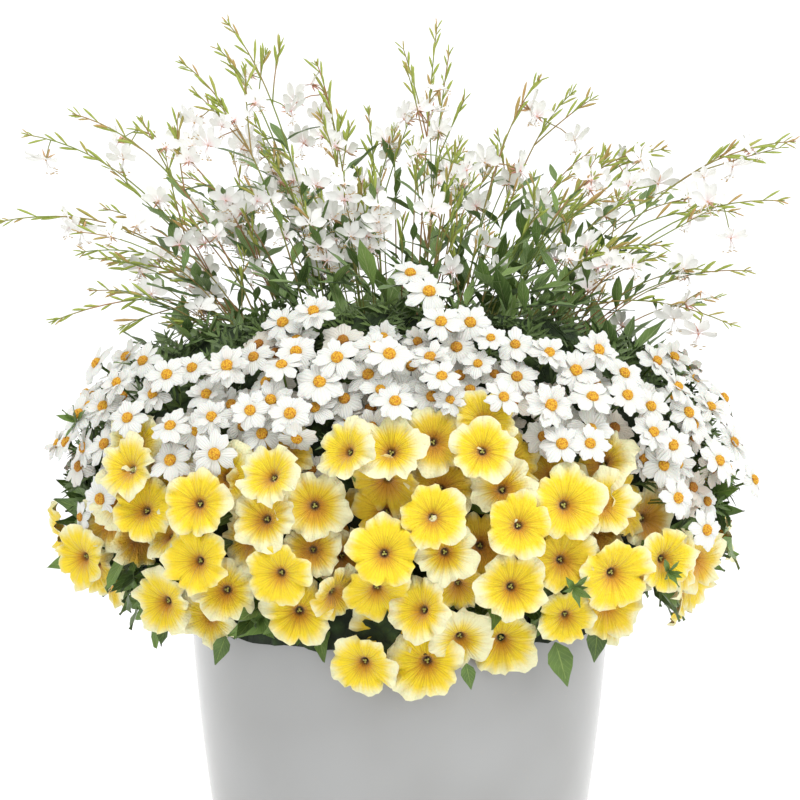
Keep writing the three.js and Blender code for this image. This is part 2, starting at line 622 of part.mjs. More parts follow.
// Petunia and bidens bunches
const bunchStart = { petunia: firstPetunia, bidens: firstPetunia + sector / 2 };
for (let k = 0; k < BUNCHES; k++) {
  for (const [kind, section] of [['petunia', petuniaSection], ['bidens', bidensSection]]) {
    const from = bunchStart[kind] + k * sector;
    const middle = from + sector / 2;
    const node = `${kind}_bunch_${k + 1}`;
    const bidensCircle = (clearingRadius(middle, BODY_BOTTOM) + SPLIT_INNER) / 2;
    const circle = kind === 'bidens' ? bidensCircle : PETUNIA_CROWN_CIRCLE;
    const [x, y] = [Math.cos(middle) * circle, Math.sin(middle) * circle];
    addPiece(node, RANK.body, () => wedge(section, from + BODY_SLIT, from + sector - BODY_SLIT));
    addPiece(node, RANK.crown, () => post(x, y, ROOT_END, BODY_BOTTOM + 5, CROWN_RADIUS, 4));
  }
}

const byLayer = (list) => [...list].sort((a, b) => a[2] - b[2]);
for (const [kind, list] of [['petunia', PETUNIAS], ['bidens', BIDENS]]) {
  for (const [x, z, layer, size = 1, right = 0, up = 0] of byLayer(list)) {
    addBloom(kind, frontPlace(x, z), layer, size, right, up);
  }
}
for (let i = 0; i < BACK_PETUNIAS; i++) {
  const angle = (Math.PI * (i + 0.5)) / BACK_PETUNIAS;
  const z = THREE.MathUtils.lerp(BACK_LOWEST, splitHeight(angle) - 10, (i * GOLDEN) % 1);
  addBloom('petunia', roundPlace(angle, z), 0, 1, 0, 0);
}
for (let i = 0; i < BACK_BIDENS; i++) {
  const angle = (Math.PI * (i + 0.5)) / BACK_BIDENS;
  const z = THREE.MathUtils.lerp(splitHeight(angle) + 15, bodyTop(angle), (i * GOLDEN) % 1);
  addBloom('bidens', roundPlace(angle, z), 0, 1, 0, 0);
}

buildBlooms();

// Whether a leaf would run through a bloom
function hidden(root, tip, width) {
  const side = tip.clone().sub(root).cross(vec(0, 0, 1)).setLength(width / 2);
  const spots = [0.5, 0.75, 1].map((share) => root.clone().lerp(tip, share));
  spots.push(spots[0].clone().add(side), spots[0].clone().sub(side));
  const near = blooms.filter((bloom) => bloom.centre.distanceTo(tip) < 70);
  return near.some((bloom) => spots.some((spot) => fills(bloom, spot)));
}

// Leaves between the blooms
for (const [x, z, right, up, width] of LARGE_LEAVES) {
  const { place } = frontPlace(x, z);
  const { bunch, root } = petuniaRoot(place);
  const tip = place.clone().add(vec(right, -6, up));
  addPiece(`petunia_bunch_${bunch + 1}`, RANK.largeLeaf, (grow) => blade(root, tip, width, 2.2, grow));
}
for (let k = 0; k < BUNCHES; k++) {
  for (let i = 0; i < PETUNIA_LEAVES + BIDENS_LEAVES; i++) {
    const kind = i < PETUNIA_LEAVES ? 'petunia' : 'bidens';
    const angle = bunchStart[kind] + sector * (k + draw(0.12, 0.88));
    const split = splitHeight(angle);
    const z = kind === 'petunia' ? draw(350, split - 15) : draw(split + 15, bodyTop(angle) - 10);
    const { place, normal } = roundPlace(angle, z);
    const { bunch, root } = kind === 'petunia' ? petuniaRoot(place) : bidensRoot(place);
    const tip = place.clone().addScaledVector(normal, draw(-12, 4)).add(vec(draw(-22, 22), 0, draw(-26, 16)));
    const width = kind === 'petunia' ? draw(20, 28) : draw(9, 13);
    if (hidden(root, tip, width)) continue;
    addPiece(`${kind}_bunch_${bunch + 1}`, RANK.leaf, (grow) => blade(root, tip, width, 2, grow));
  }
}

// Pieces of different nodes are cut clear of each other, the higher rank kept whole
function meets(a, b, margin) {
  return [0, 1, 2].every((i) => a.min[i] < b.max[i] + margin && b.min[i] < a.max[i] + margin);
}
for (const piece of pieces) {
  piece.kept = piece.solid;
  for (const other of pieces) {
    if (other === piece || !meets(piece.box, other.box, 1)) continue;
    const sameNode = other.node === piece.node;
    const wins = other.rank > piece.rank || (other.rank === piece.rank && other.node > piece.node);
    if (!wins || sameNode) continue;
    other.room ??= other.rooms().map((room) => ({ room, box: room.boundingBox() }));
    other.room.forEach(({ room, box }, k) => {
      if (!meets(piece.box, box, 0)) return;
      const spare = piece.isFace && other.isFace && k === 0;
      piece.kept = piece.kept.subtract(spare ? room.subtract(piece.stalk()) : room);
    });
  }
}

function rimClearance() {
  const [inner, outer, top] = [POT_RIM_RADIUS - 18, POT_RIM_RADIUS + 1, POT_HEIGHT + 1.5];
  const outline = [[inner, 0], [outer, 0], [outer, top], [inner, top], [inner, 0]];
  const geometry = new THREE.LatheGeometry(outline.map(([r, z]) => new THREE.Vector2(r, z)), 48);
  geometry.rotateX(Math.PI / 2);
  return solidOf(geometry);
}

const model = new THREE.Group();
function addNode(name, solid, colour, roughness) {
  const bodies = solid.decompose().sort((a, b) => b.volume() - a.volume());
  const mesh = bodies[0].getMesh();
  const geometry = new THREE.BufferGeometry();
  geometry.setAttribute('position', new THREE.BufferAttribute(new Float32Array(mesh.vertProperties), 3));
  geometry.setIndex(new THREE.BufferAttribute(new Uint32Array(mesh.triVerts), 1));
  const material = new THREE.MeshStandardMaterial({ color: colour, roughness, metalness: 0 });
  const made = new THREE.Mesh(geometry, material);
  made.name = name;
  model.add(made);
}

// Pot and soil
function revolve(profile, sides) {
  const geometry = new THREE.LatheGeometry(profile.map(([r, z]) => new THREE.Vector2(r, z)), sides);
  geometry.rotateX(Math.PI / 2);
  const made = solidOf(geometry);
  if (made.volume() > 0) return made;
  return solidOf(new THREE.LatheGeometry(profile.reverse().map(([r, z]) => new THREE.Vector2(r, z)), sides)
    .rotateX(Math.PI / 2));
}
const innerSide = POT_PROFILE.filter(([, z]) => z > POT_FLOOR + 20).map(([r, z]) => [r - POT_WALL, z]);
const potInside = [[0, POT_FLOOR], [POT_FOOT_RADIUS - 8, POT_FLOOR], ...innerSide];
let pot = revolve([
  [0, 0], [POT_FOOT_RADIUS, 0], ...POT_PROFILE, [POT_RIM_RADIUS - 0.5, POT_HEIGHT - 6],
  [POT_RIM_RADIUS - 5, POT_HEIGHT], [POT_RIM_RADIUS - 10, POT_HEIGHT - 1], ...[...potInside].reverse(),
], POT_SIDES);
for (let i = 0; i < DRAIN_COUNT; i++) {
  const angle = (i / DRAIN_COUNT) * Math.PI * 2;
  const [x, y] = [Math.cos(angle) * DRAIN_CIRCLE, Math.sin(angle) * DRAIN_CIRCLE];
  const hole = post(x, y, -5, POT_FLOOR + 5, DRAIN_RADIUS, 8);
  pot = pot.subtract(hole);
}

const soilRadius = (z) => {
  const i = Math.max(1, potInside.findIndex(([, height]) => height >= z));
  const [[r0, z0], [r1, z1]] = [potInside[i - 1], potInside[i]];
  return THREE.MathUtils.mapLinear(z, z0, z1, r0, r1) - SOIL_GAP;
};
const soilLow = POT_FLOOR + SOIL_GAP;
const soilSide = innerSide.filter(([, z]) => z < SOIL_TOP).map(([r, z]) => [r - SOIL_GAP, z]);
let soil = revolve([
  [0, soilLow], [POT_FOOT_RADIUS - 8 - 2 * SOIL_GAP, soilLow], ...soilSide.filter((_, i) => i % 2 === 1),
  [soilRadius(SOIL_TOP), SOIL_TOP], [0, SOIL_TOP + SOIL_CROWN],
], POT_SIDES);
for (const { base } of sprays) {
  soil = soil.subtract(post(base.x, base.y, SOIL_TOP - HOLE_DEPTH, SOIL_TOP + 20, STEM_HOLE_RADIUS, 3));
}
for (const { solid, rank } of pieces) {
  if (rank !== RANK.crown) continue;
  const { min, max } = solid.boundingBox();
  const [x, y] = [(min[0] + max[0]) / 2, (min[1] + max[1]) / 2];
  soil = soil.subtract(post(x, y, SOIL_TOP - HOLE_DEPTH, SOIL_TOP + 20, CROWN_RADIUS + 1.2, 4));
}

addNode('pot', pot, 0xb9b5ad, 0.25);
addNode('soil', soil, 0x3a2a1e, 0.95);
const names = [...new Set(pieces.map((piece) => piece.node))].sort();
const pale = { petunia: 0xf2d84a, bidens: 0xf4f2ea, gaura: 0x6f8a3c };
const rim = rimClearance();
for (const name of names) {
  const own = pieces.filter((piece) => piece.node === name);
  const joined = wasm.Manifold.union(own.map((piece) => piece.kept));
  const clear = name.startsWith('gaura') ? joined : joined.subtract(rim);
  addNode(name, clear.simplify(SIMPLER), pale[name.split('_')[0]], 0.6);
}

export default model;
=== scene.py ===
import math
import random
import bpy
from mathutils import Matrix, Vector


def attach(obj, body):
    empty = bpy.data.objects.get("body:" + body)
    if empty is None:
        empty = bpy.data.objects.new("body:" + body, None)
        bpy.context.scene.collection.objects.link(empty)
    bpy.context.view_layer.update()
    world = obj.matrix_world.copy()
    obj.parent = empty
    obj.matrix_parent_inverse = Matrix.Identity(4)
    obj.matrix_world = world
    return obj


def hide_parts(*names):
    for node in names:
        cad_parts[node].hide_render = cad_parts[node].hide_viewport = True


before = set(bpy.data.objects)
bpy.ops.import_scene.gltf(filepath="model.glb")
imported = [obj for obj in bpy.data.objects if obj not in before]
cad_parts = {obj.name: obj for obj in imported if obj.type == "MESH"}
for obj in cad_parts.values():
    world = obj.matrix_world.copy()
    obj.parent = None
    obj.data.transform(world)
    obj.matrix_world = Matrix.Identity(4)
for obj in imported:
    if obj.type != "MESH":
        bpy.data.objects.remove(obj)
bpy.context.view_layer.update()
print("stage: frame loaded")

mm = 0.001
golden = 0.618034
upward = Vector((0, 0, 1))
scene = bpy.context.scene


def mix(a, b, share):
    return a + (b - a) * share


def clamped(value):
    return min(1.0, max(0.0, value))


def angles(count, shift=0):
    return [math.tau * (k + shift) / count for k in range(count)]


def polar(angle, radius=1, z=0):
    return Vector((math.cos(angle) * radius, math.sin(angle) * radius, z))


def aimed(towards):
    return towards.to_track_quat("-Z", "Y").to_euler()


def addObject(name, data):
    item = bpy.data.objects.new(name, data)
    scene.collection.objects.link(item)
    return item


def meshPiece(name, verts, faces, material):
    mesh = bpy.data.meshes.new(name)
    mesh.from_pydata(verts, [], faces)
    mesh.shade_smooth()
    mesh.materials.append(material)
    return addObject(name, mesh)


# Camera: the photo's eye level, slightly above the plant
cameraSet = {"rise": 8.0, "distance": 3.0, "target": (0.0, 0.0, 0.535), "lens": 150.0, "sensor": 36.0}
rise = math.radians(cameraSet["rise"])
away = Vector((0.0, -math.cos(rise), math.sin(rise)))
cameraData = bpy.data.cameras.new("camera")
cameraData.lens = cameraSet["lens"]
cameraData.sensor_width = cameraSet["sensor"]
camera = addObject("camera", cameraData)
camera.location = Vector(cameraSet["target"]) + away * cameraSet["distance"]
camera.rotation_euler = aimed(-away)
scene.camera = camera

# Layout of the planting, in mm, as the solids have it
mound = {
    "x": 322, "y": 250, "up": 228, "down": 165, "z": 447, "skirt": 215, "inset": 50, "bottom": 396,
    "layer": 13, "shingle": 8, "deepest": 34, "skirtTop": 408, "skirtInner": 192.5, "skirtOuter": 204,
    "splitLow": 445, "splitFront": 98, "splitBack": 45, "bodyHigh": 660, "bodyEdge": 14,
    "clearY": 35, "clearLow": (100, 55), "clearHigh": (215, 95), "clearTop": 600,
}

# x, z, layer, size, turn to the right, turn upwards
petunias = [
    (-236, 523, 1), (-234, 500, 0), (-225, 467, 0), (-255, 470, 1), (-273, 447, 1), (-281, 410, 0),
    (-247, 430, 1, 0.95, 0.9, 0), (-210, 445, 1, 0.8, -0.8, 0.4), (-170, 477, 0), (-152, 502, 1),
    (-110, 505, 0, 1, -0.4, 0.3), (-132, 494, 1, 0.95, 0.9, -0.2), (-116, 469, 0), (-173, 427, 0),
    (-140, 444, 1, 0.95, -0.9, 0), (-152, 398, 0), (-205, 382, 0, 1.05), (-173, 359, 1), (-102, 420, 0),
    (-87, 380, 0, 1.1), (-75, 480, 0, 1.05), (-47, 526, 0, 0.95, -0.6, 0.1), (-8, 529, 0, 1.05),
    (30, 539, 0.5), (46, 555, 1), (75, 556, 1), (69, 526, 0), (99, 524, 1), (-13, 500, 1, 1, 0, -0.6),
    (38, 500, 1), (90, 497, 1), (-12, 477, 1), (-13, 442, 0, 1.0), (27, 473, 0), (39, 440, 0, 0.95),
    (99, 465, 0), (74, 441, 2), (-47, 463, 2), (-78, 439, 1, 0.9), (95, 410, 0, 1.05),
    (-20, 398, 0, 1, 0, -0.5), (15, 393, 0, 1, -0.4, 0.4), (52, 402, 1, 0.85, 0, -0.5), (52, 360, 0),
    (89, 346, 0, 1.1), (22, 330, 0, 1.1, 0, 0.1), (-32, 333, 0, 1, 0, -0.1), (-12, 356, 1),
    (-54, 394, 1, 0.9, 0.8, -0.4), (-49, 423, 2, 0.9, 0.8, 0), (144, 478, 0, 1.1), (181, 476, 1),
    (185, 518, 1, 1.1, -0.8, 0), (142, 507, 2), (213, 470, 1, 1, 0.9, 0), (143, 427, 1),
    (183, 413, 0, 1.1), (190, 448, 1), (229, 420, 0), (260, 405, 1, 1, 0.9, 0), (142, 376, 0, 0.85),
    (187, 372, 1, 1.1), (197, 348, 1), (232, 376, 2), (265, 365, 1, 0.7, 0.9, -0.3), (243, 452, 2),
    (156, 450, 2), (125, 453, 1), (-200, 492, 2), (-140, 515, 2), (-113, 530, 2), (-215, 520, 2),
]
bidensHeads = [
    (-246, 564, 0), (-265, 546, 0), (-250, 548, 1, 0.9, 0.3, 0.6), (-234, 539, 0), (-282, 533, 0),
    (-217, 563, 0), (-200, 576, 0), (-182, 587, 0), (-165, 592, 1), (-147, 587, 0, 1.12),
    (-129, 602, 1), (-120, 587, 1, 1, -0.8, 0.3), (-109, 591, 2, 0.8), (-100, 590, 0, 1, 0, 0.6),
    (-172, 571, 0), (-153, 568, 1), (-135, 571, 1), (-111, 566, 0), (-213, 538, 0),
    (-195, 537, 0, 1, 0, 0.6), (-196, 554, 2, 0.8), (-183, 549, 1), (-178, 539, 1), (-159, 547, 0),
    (-126, 554, 0), (-121, 541, 0), (-132, 537, 2, 0.8), (-92, 553, 0), (-199, 511, 0),
    (-175, 505, 0), (-156, 518, 0, 1, 0, -0.3), (-288, 509, 1, 1, -0.8, 0), (-266, 517, 1),
    (-260, 485, 1), (-269, 468, 1), (-290, 446, 1, 0.8, -0.6, 0),
    (-104, 630, 1), (-93, 622, 1), (-74, 631, 0), (-90, 605, 0, 1.05), (-53, 597, 0, 1.08),
    (-69, 582, 0, 1.05), (-75, 565, 1), (-50, 577, 1), (-28, 593, 1), (-27, 572, 1, 1, 0, 0.7),
    (-47, 561, 2, 0.8), (-24, 550, 1, 0.9, 0, -0.5), (-88, 536, 0, 1, 0, -0.9), (-83, 517, 2, 0.8),
    (-9, 600, 0, 1.12), (-22, 610, 0), (1, 585, 1), (-17, 579, 1, 0.9), (-5, 576, 1, 0.9),
    (-4, 564, 0, 1, 0, 0.4), (9, 659, 0), (25, 646, 0, 1.12), (16, 626, 2, 0.8), (35, 624, 0, 1.05),
    (61, 628, 0), (50, 615, 1), (77, 611, 0, 0.8), (26, 602, 0, 1, 0, 0.5), (54, 599, 1),
    (68, 599, 1, 0.8), (35, 583, 0, 1, 0, 0.4), (63, 584, 0, 1, 0, 0.5), (28, 575, 1),
    (57, 574, 1, 0.9), (43, 568, 0, 0.8),
    (100, 610, 0, 0.9), (127, 598, 0), (103, 589, 0, 0.95), (170, 597, 0, 1.08), (153, 587, 0, 1.05),
    (181, 584, 2, 0.8), (200, 584, 1), (102, 573, 1, 0.9), (125, 576, 1), (167, 572, 1),
    (87, 566, 0, 0.9), (127, 558, 0, 1.12), (101, 558, 0), (163, 562, 0, 1, 0, 0.4), (180, 565, 2, 0.8),
    (194, 561, 0), (223, 568, 1), (241, 562, 0, 0.9, 0.3, 0.4), (220, 553, 0), (256, 543, 0),
    (264, 542, 1, 1, 0.6, 0), (152, 559, 2, 0.8), (171, 551, 1), (167, 541, 1), (139, 529, 0),
    (160, 526, 0), (216, 530, 0), (239, 519, 0), (237, 504, 1), (258, 504, 1), (277, 498, 0),
    (300, 488, 1, 0.9, 0.8, 0), (298, 505, 1, 0.9, 0.8, 0.4), (237, 474, 0), (253, 468, 1, 0.9, 0.8, 0),
    (264, 442, 0),
]
# tip x, y, z, bow, then the x and z of its flowers
gauraSprays = [
    (-355, -25, 698, 1.15, (-283, 690)), (-335, 25, 772, 0.75, (-319, 749)), (-290, -15, 793, 0.7),
    (-309, -60, 612, 1.6), (-294, 90, 660, 1.1), (-238, 35, 777, 0.7, (-255, 737)),
    (-191, -30, 838, 0.6, (-189, 780), (-175, 762)), (-165, 60, 848, 0.6, (-157, 753), (-144, 740)),
    (-153, 5, 872, 0.55, (-130, 799), (-121, 717)), (-76, 60, 836, 0.5, (-99, 799), (-90, 762)),
    (-70, -35, 793, 0.5, (-74, 730), (-54, 699)), (-29, 85, 789, 0.4, (-49, 753)),
    (33, 25, 868, 0.4, (27, 799), (4, 785)), (45, 90, 843, 0.4, (36, 735)),
    (47, -45, 761, 0.4, (27, 708), (4, 762)), (125, 20, 822, 0.6, (117, 794), (108, 739)),
    (158, 85, 807, 0.6, (162, 762)), (217, -25, 761, 0.8, (202, 730)), (240, 60, 757, 0.8, (234, 726)),
    (232, -65, 680, 1.0, (171, 671)), (302, 15, 703, 1.05, (261, 700)), (340, -30, 717, 0.95, (301, 653)),
    (358, 45, 765, 0.85, (301, 742)), (290, -75, 612, 1.6, (262, 603), (243, 620)),
    (-120, 190, 750, 0.8, (-110, 715)), (60, 205, 745, 0.8, (50, 705)), (185, 165, 700, 0.9, (150, 675)),
]


def reachAt(z):
    return mound["up"] if z > mound["z"] else mound["down"]


def moundRadius(angle, z):
    flat = math.hypot(math.cos(angle) / mound["x"], math.sin(angle) / mound["y"])
    return math.sqrt(max(0.0, 1 - ((z - mound["z"]) / reachAt(z)) ** 2)) / flat


def bodyRadius(angle, z):
    return max(moundRadius(angle, z) - mound["inset"], mound["skirtOuter"] if z <= mound["skirtTop"] else 0)


# The hollow in the middle, where the gaura stands
def clearingRadius(angle, z):
    share = clamped((z - mound["bottom"]) / (mound["clearTop"] - mound["bottom"]))
    a, b = (mix(low, high, share) for low, high in zip(mound["clearLow"], mound["clearHigh"]))
    c, s = math.cos(angle), math.sin(angle)
    p = (c / a) ** 2 + (s / b) ** 2
    q = s * mound["clearY"] / b ** 2
    return (q + math.sqrt(q * q - p * ((mound["clearY"] / b) ** 2 - 1))) / p


# Where the petunias end and the bidens begin
def splitHeight(angle):
    front, back = max(0.0, -math.sin(angle)), max(0.0, math.sin(angle))
    return mound["splitLow"] + mound["splitFront"] * front ** 2.5 + mound["splitBack"] * back ** 2


def bodyTop(angle):
    z = splitHeight(angle) + 30
    while z < mound["bodyHigh"] and bodyRadius(angle, z) - clearingRadius(angle, z) > mound["bodyEdge"]:
        z += 2
    return z


def normalAt(place):
    x, y, z = place
    n = Vector((x / mound["x"] ** 2, y / mound["y"] ** 2, (z - mound["z"]) / reachAt(z) ** 2))
    if z < mound["z"]:
        n.z *= 0.6
    return n.normalized()


def frontPlace(x, z):
    inside = 1 - (x / mound["x"]) ** 2 - ((z - mound["z"]) / reachAt(z)) ** 2
    depth = mound["y"] * math.sqrt(max(0.02, inside))
    skirt = math.sqrt(max(0, mound["skirt"] ** 2 - x * x)) if z < mound["bottom"] else 0
    y = -max(depth, skirt)
    return Vector((x, y, z + (-y - depth) * math.tan(rise)))


def roundPlace(angle, z):
    return polar(angle, max(moundRadius(angle, z), mound["skirt"] if z < mound["bottom"] else 0), z)


def facingMatrix(facing, turn):
    w = facing.normalized()
    u = upward.cross(w)
    if u.length < 0.1:
        u = Vector((1, 0, 0))
    u.normalize()
    return Matrix((u, w.cross(u), w)).transposed() @ Matrix.Rotation(turn, 3, "Z")


layoutSet = {"seed": 4711, "jitter": 0.14, "petunia": 28.8, "bidens": 19.6, "gaura": 16.0,
             "outward": 0.65, "ahead": -0.25, "behind": 0.1, "backFrom": 70, "lift": 0.15}
rng = random.Random(layoutSet["seed"])
placed = []
heads = {"petunia": [], "bidens": []}


# The depth at which a bloom lies clear of its neighbours, like a shingle
def shingle(place, radius, start):
    near = [o for o in placed if (o[0] - place).length < 0.85 * (o[1] + radius)]

    def gap(depth):
        return min([mound["shingle"]] + [abs(o[2] - depth) for o in near])

    best, depth = start, start
    while depth <= max(start, mound["deepest"]) and gap(best) < mound["shingle"]:
        if gap(depth) > gap(best):
            best = depth
        depth += mound["shingle"] / 2
    placed.append((place.copy(), radius, best))
    return best


def addHead(kind, place, layer, size=1.0, right=0.0, up=0.0):
    normal = normalAt(place)
    depth = shingle(place, layoutSet[kind] * size, layer * mound["layer"])
    jitter = layoutSet["jitter"]
    ahead = Vector((
        right + rng.uniform(-jitter, jitter),
        layoutSet["ahead"] if place.y < layoutSet["backFrom"] else layoutSet["behind"],
        layoutSet["lift"] + up + rng.uniform(-jitter, jitter),
    ))
    heads[kind].append({
        "at": place - normal * depth, "facing": normal * layoutSet["outward"] + ahead,
        "turn": rng.uniform(0, math.tau),
        "size": size, "depth": depth, "radius": layoutSet[kind], "moved": 0.0,
    })


for kind, entries in (("petunia", petunias), ("bidens", bidensHeads)):
    for x, z, layer, *rest in sorted(entries, key=lambda entry: entry[2]):
        addHead(kind, frontPlace(x, z), layer, *rest)

# Blooms of the back, evenly spread
backSet = {"petunia": 28, "bidens": 38, "lowest": 352, "under": 10, "over": 15,
           "sidePetunia": 2, "sideBidens": 6, "side": 0.42, "sideTop": 398, "sideOver": 20, "shift": 0.3,
           "tries": 900, "near": 27.0, "most": 32, "aside": 0.1, "fillOver": 12, "fillSize": (0.85, 1.0)}
for i in range(backSet["petunia"]):
    angle = math.pi * (i + 0.5) / backSet["petunia"]
    z = mix(backSet["lowest"], splitHeight(angle) - backSet["under"], i * golden % 1)
    addHead("petunia", roundPlace(angle, z), 0)
for i in range(backSet["bidens"]):
    angle = math.pi * (i + 0.5) / backSet["bidens"]
    z = mix(splitHeight(angle) + backSet["over"], bodyTop(angle), i * golden % 1)
    addHead("bidens", roundPlace(angle, z), 0)

# Bidens heads a little deeper, wherever the listed ones leave a gap
fillSet = {"tries": 3000, "x": (-285, 295), "z": (450, 640), "near": 15.0, "round": 40.0, "least": 3,
           "petunia": 31.0, "aside": 26.0, "layer": 2, "size": (0.85, 1.05)}
standing = [(x, z) for x, z, *rest in bidensHeads]
listed = list(standing)
for attempt in range(fillSet["tries"]):
    spot = (rng.uniform(*fillSet["x"]), rng.uniform(*fillSet["z"]))
    roomy = min(math.dist(spot, other) for other in standing) > fillSet["near"]
    alone = min(math.dist(spot, entry[:2]) for entry in petunias) > fillSet["petunia"]
    within = sum(math.dist(spot, other) < fillSet["round"] for other in listed) >= fillSet["least"]
    under = any(abs(x - spot[0]) < fillSet["aside"] and z > spot[1] for x, z in listed)
    if roomy and alone and within and under:
        standing.append(spot)
        addHead("bidens", frontPlace(*spot), fillSet["layer"], rng.uniform(*fillSet["size"]))
print("bidens heads added", len(standing) - len(bidensHeads))

# A few more at both sides, where the front's blooms end
for right in (True, False):
    for kind, count in (("petunia", backSet["sidePetunia"]), ("bidens", backSet["sideBidens"])):
        for i in range(count):
            angle = -backSet["side"] * (i + 0.4) / count
            angle = angle if right else math.pi - angle
            low, high = backSet["lowest"], backSet["sideTop"]
            if kind == "bidens":
                low, high = splitHeight(angle) + backSet["sideOver"], bodyTop(angle)
            addHead(kind, roundPlace(angle, mix(low, high, (i * golden + backSet["shift"]) % 1)), 1)

# More bidens heads behind, between the evenly spread ones
roundHeads = [head["at"] for head in heads["bidens"]]
added = 0
for attempt in range(backSet["tries"]):
    angle = rng.uniform(backSet["aside"], math.pi - backSet["aside"])
    place = roundPlace(angle, mix(splitHeight(angle) + backSet["fillOver"], bodyTop(angle), rng.random()))
    if added < backSet["most"] and min((place - other).length for other in roundHeads) > backSet["near"]:
        addHead("bidens", place, 1, rng.uniform(*backSet["fillSize"]))
        roundHeads.append(place)
        added += 1

# Blooms that would poke through another's funnel slide apart along the mound's normal
settleSet = {"rounds": 14, "back": 1.6, "front": 0.6, "mostBack": 17.0, "mostFront": 4.0, "room": 1.5,
             "still": 378, "points": 16, "shares": (0.35, 0.7, 1.0), "inner": 0.6, "outer": 1.05, "above": 8}


def funnelHeight(share):
    return -0.42 * max(0.0, 1 - share) ** 2.2


# A point's height over a bloom's face, and its distance from the bloom's axis
def overFace(point, head, axis):
    local = point - head["at"]
    height = local.dot(axis)
    return height, math.sqrt(max(0.0, local.length_squared - height * height))


def pokes(inner, outer):
    axis = inner["facing"].normalized()
    turned = facingMatrix(outer["facing"], 0)
    r, ro = layoutSet["petunia"] * inner["size"], outer["radius"] * outer["size"]
    for t in angles(settleSet["points"]):
        for share in settleSet["shares"]:
            height, across = overFace(outer["at"] + turned @ polar(t) * ro * share, inner, axis)
            low = r * funnelHeight(across / r) - settleSet["room"]
            if across / r < settleSet["inner"] and low < height < settleSet["above"]:
                return True
    return False


everyHead = heads["petunia"] + heads["bidens"]
for head in everyHead:
    head["normal"] = normalAt(head["at"])
for turn in range(settleSet["rounds"]):
    for front in heads["petunia"]:
        for other in everyHead:
            near = front["radius"] * settleSet["inner"] + other["radius"] * settleSet["outer"]
            if other is front or other["depth"] < front["depth"] or (other["at"] - front["at"]).length > near:
                continue
            if pokes(front, other):
                for head, step in ((other, -settleSet["back"]), (front, settleSet["front"])):
                    held = step < 0 and head["at"].z < settleSet["still"]
                    if not held and -settleSet["mostBack"] < head["moved"] + step < settleSet["mostFront"]:
                        head["moved"] += step
                        head["at"] = head["at"] + head["normal"] * step


def moundShare(point):
    return math.sqrt((point.x / mound["x"]) ** 2 + (point.y / mound["y"]) ** 2
                     + ((point.z - mound["z"]) / reachAt(point.z)) ** 2)


# Whether points stand in front of a bloom's face or pass through it
coverSet = {"far": 60, "wide": 1.02, "slack": 6.0, "funnel": 0.3, "ahead": 45}


def coversFace(points):
    for head in everyHead:
        r = head["radius"] * head["size"]
        if (head["at"] - points[-1]).length > r + coverSet["far"]:
            continue
        axis = head["facing"].normalized()
        for point in points:
            height, across = overFace(point, head, axis)
            low = -coverSet["slack"] - coverSet["funnel"] * (r - across)
            if across < r * coverSet["wide"] and low < height < coverSet["ahead"]:
                return True
    return False


print("stage: layout")


# Node helpers
def addNode(tree, kind, values=None, **settings):
    node = tree.nodes.new(kind)
    for name, value in settings.items():
        setattr(node, name, value)
    for key, value in (values or {}).items():
        value = value.socket if isinstance(value, Wire) else value
        if isinstance(value, bpy.types.NodeSocket):
            tree.links.new(value, node.inputs[key])
        else:
            node.inputs[key].default_value = value
    return node


# A node's output, with the maths that can follow it
class Wire:
    def __init__(self, tree, socket):
        self.tree, self.socket = tree, socket

    def follow(self, kind, values, out=0, **settings):
        return Wire(self.tree, addNode(self.tree, kind, {0: self} | values, **settings).outputs[out])

    def maths(self, operation, other=0.0, clamp=False):
        return self.follow("ShaderNodeMath", {1: other}, operation=operation, use_clamp=clamp)

    def vector(self, operation, values, out=0):
        return self.follow("ShaderNodeVectorMath", values, out, operation=operation)

    def smooth(self, low, high, start=0.0, end=1.0):
        values = {1: low, 2: high, 3: start, 4: end}
        return self.follow("ShaderNodeMapRange", values, interpolation_type="SMOOTHSTEP")

    def __add__(self, other):
        return self.maths("ADD", other)

    def __sub__(self, other):
        return self.maths("SUBTRACT", other)

    def __mul__(self, other):
        return self.maths("MULTIPLY", other)


# A node tree with named inputs and outputs
def newGroup(name, kind, inputs, outputs):
    tree = bpy.data.node_groups.new(name, kind)
    for flow, sockets in (("INPUT", inputs), ("OUTPUT", outputs)):
        for label, sort in sockets.items():
            tree.interface.new_socket(label, in_out=flow, socket_type="NodeSocket" + sort)
    return tree, addNode(tree, "NodeGroupInput").outputs


def attribute(tree, name, out="Fac"):
    return Wire(tree, addNode(tree, "ShaderNodeAttribute", attribute_name=name).outputs[out])


# Noise in a bloom's or leaf's own coordinates, different on each copy
mottleGroup, given = newGroup("ownMottle", "ShaderNodeTree", {
    "Scale": "Float", "Detail": "Float", "Shift": "Float"}, {"Value": "Float", "Tone": "Float"})
tone = attribute(mottleGroup, "tone")
apart = addNode(mottleGroup, "ShaderNodeVectorMath", {0: (1.0, 0.7, 0.4), "Scale": tone * given["Shift"]},
                operation="SCALE")
moved = attribute(mottleGroup, "local", "Vector").vector("ADD", {1: apart.outputs[0]})
noise = addNode(mottleGroup, "ShaderNodeTexNoise", {"Vector": moved, "Scale": given["Scale"],
                                                   "Detail": given["Detail"]})
addNode(mottleGroup, "NodeGroupOutput", {"Value": noise.outputs[0], "Tone": tone})

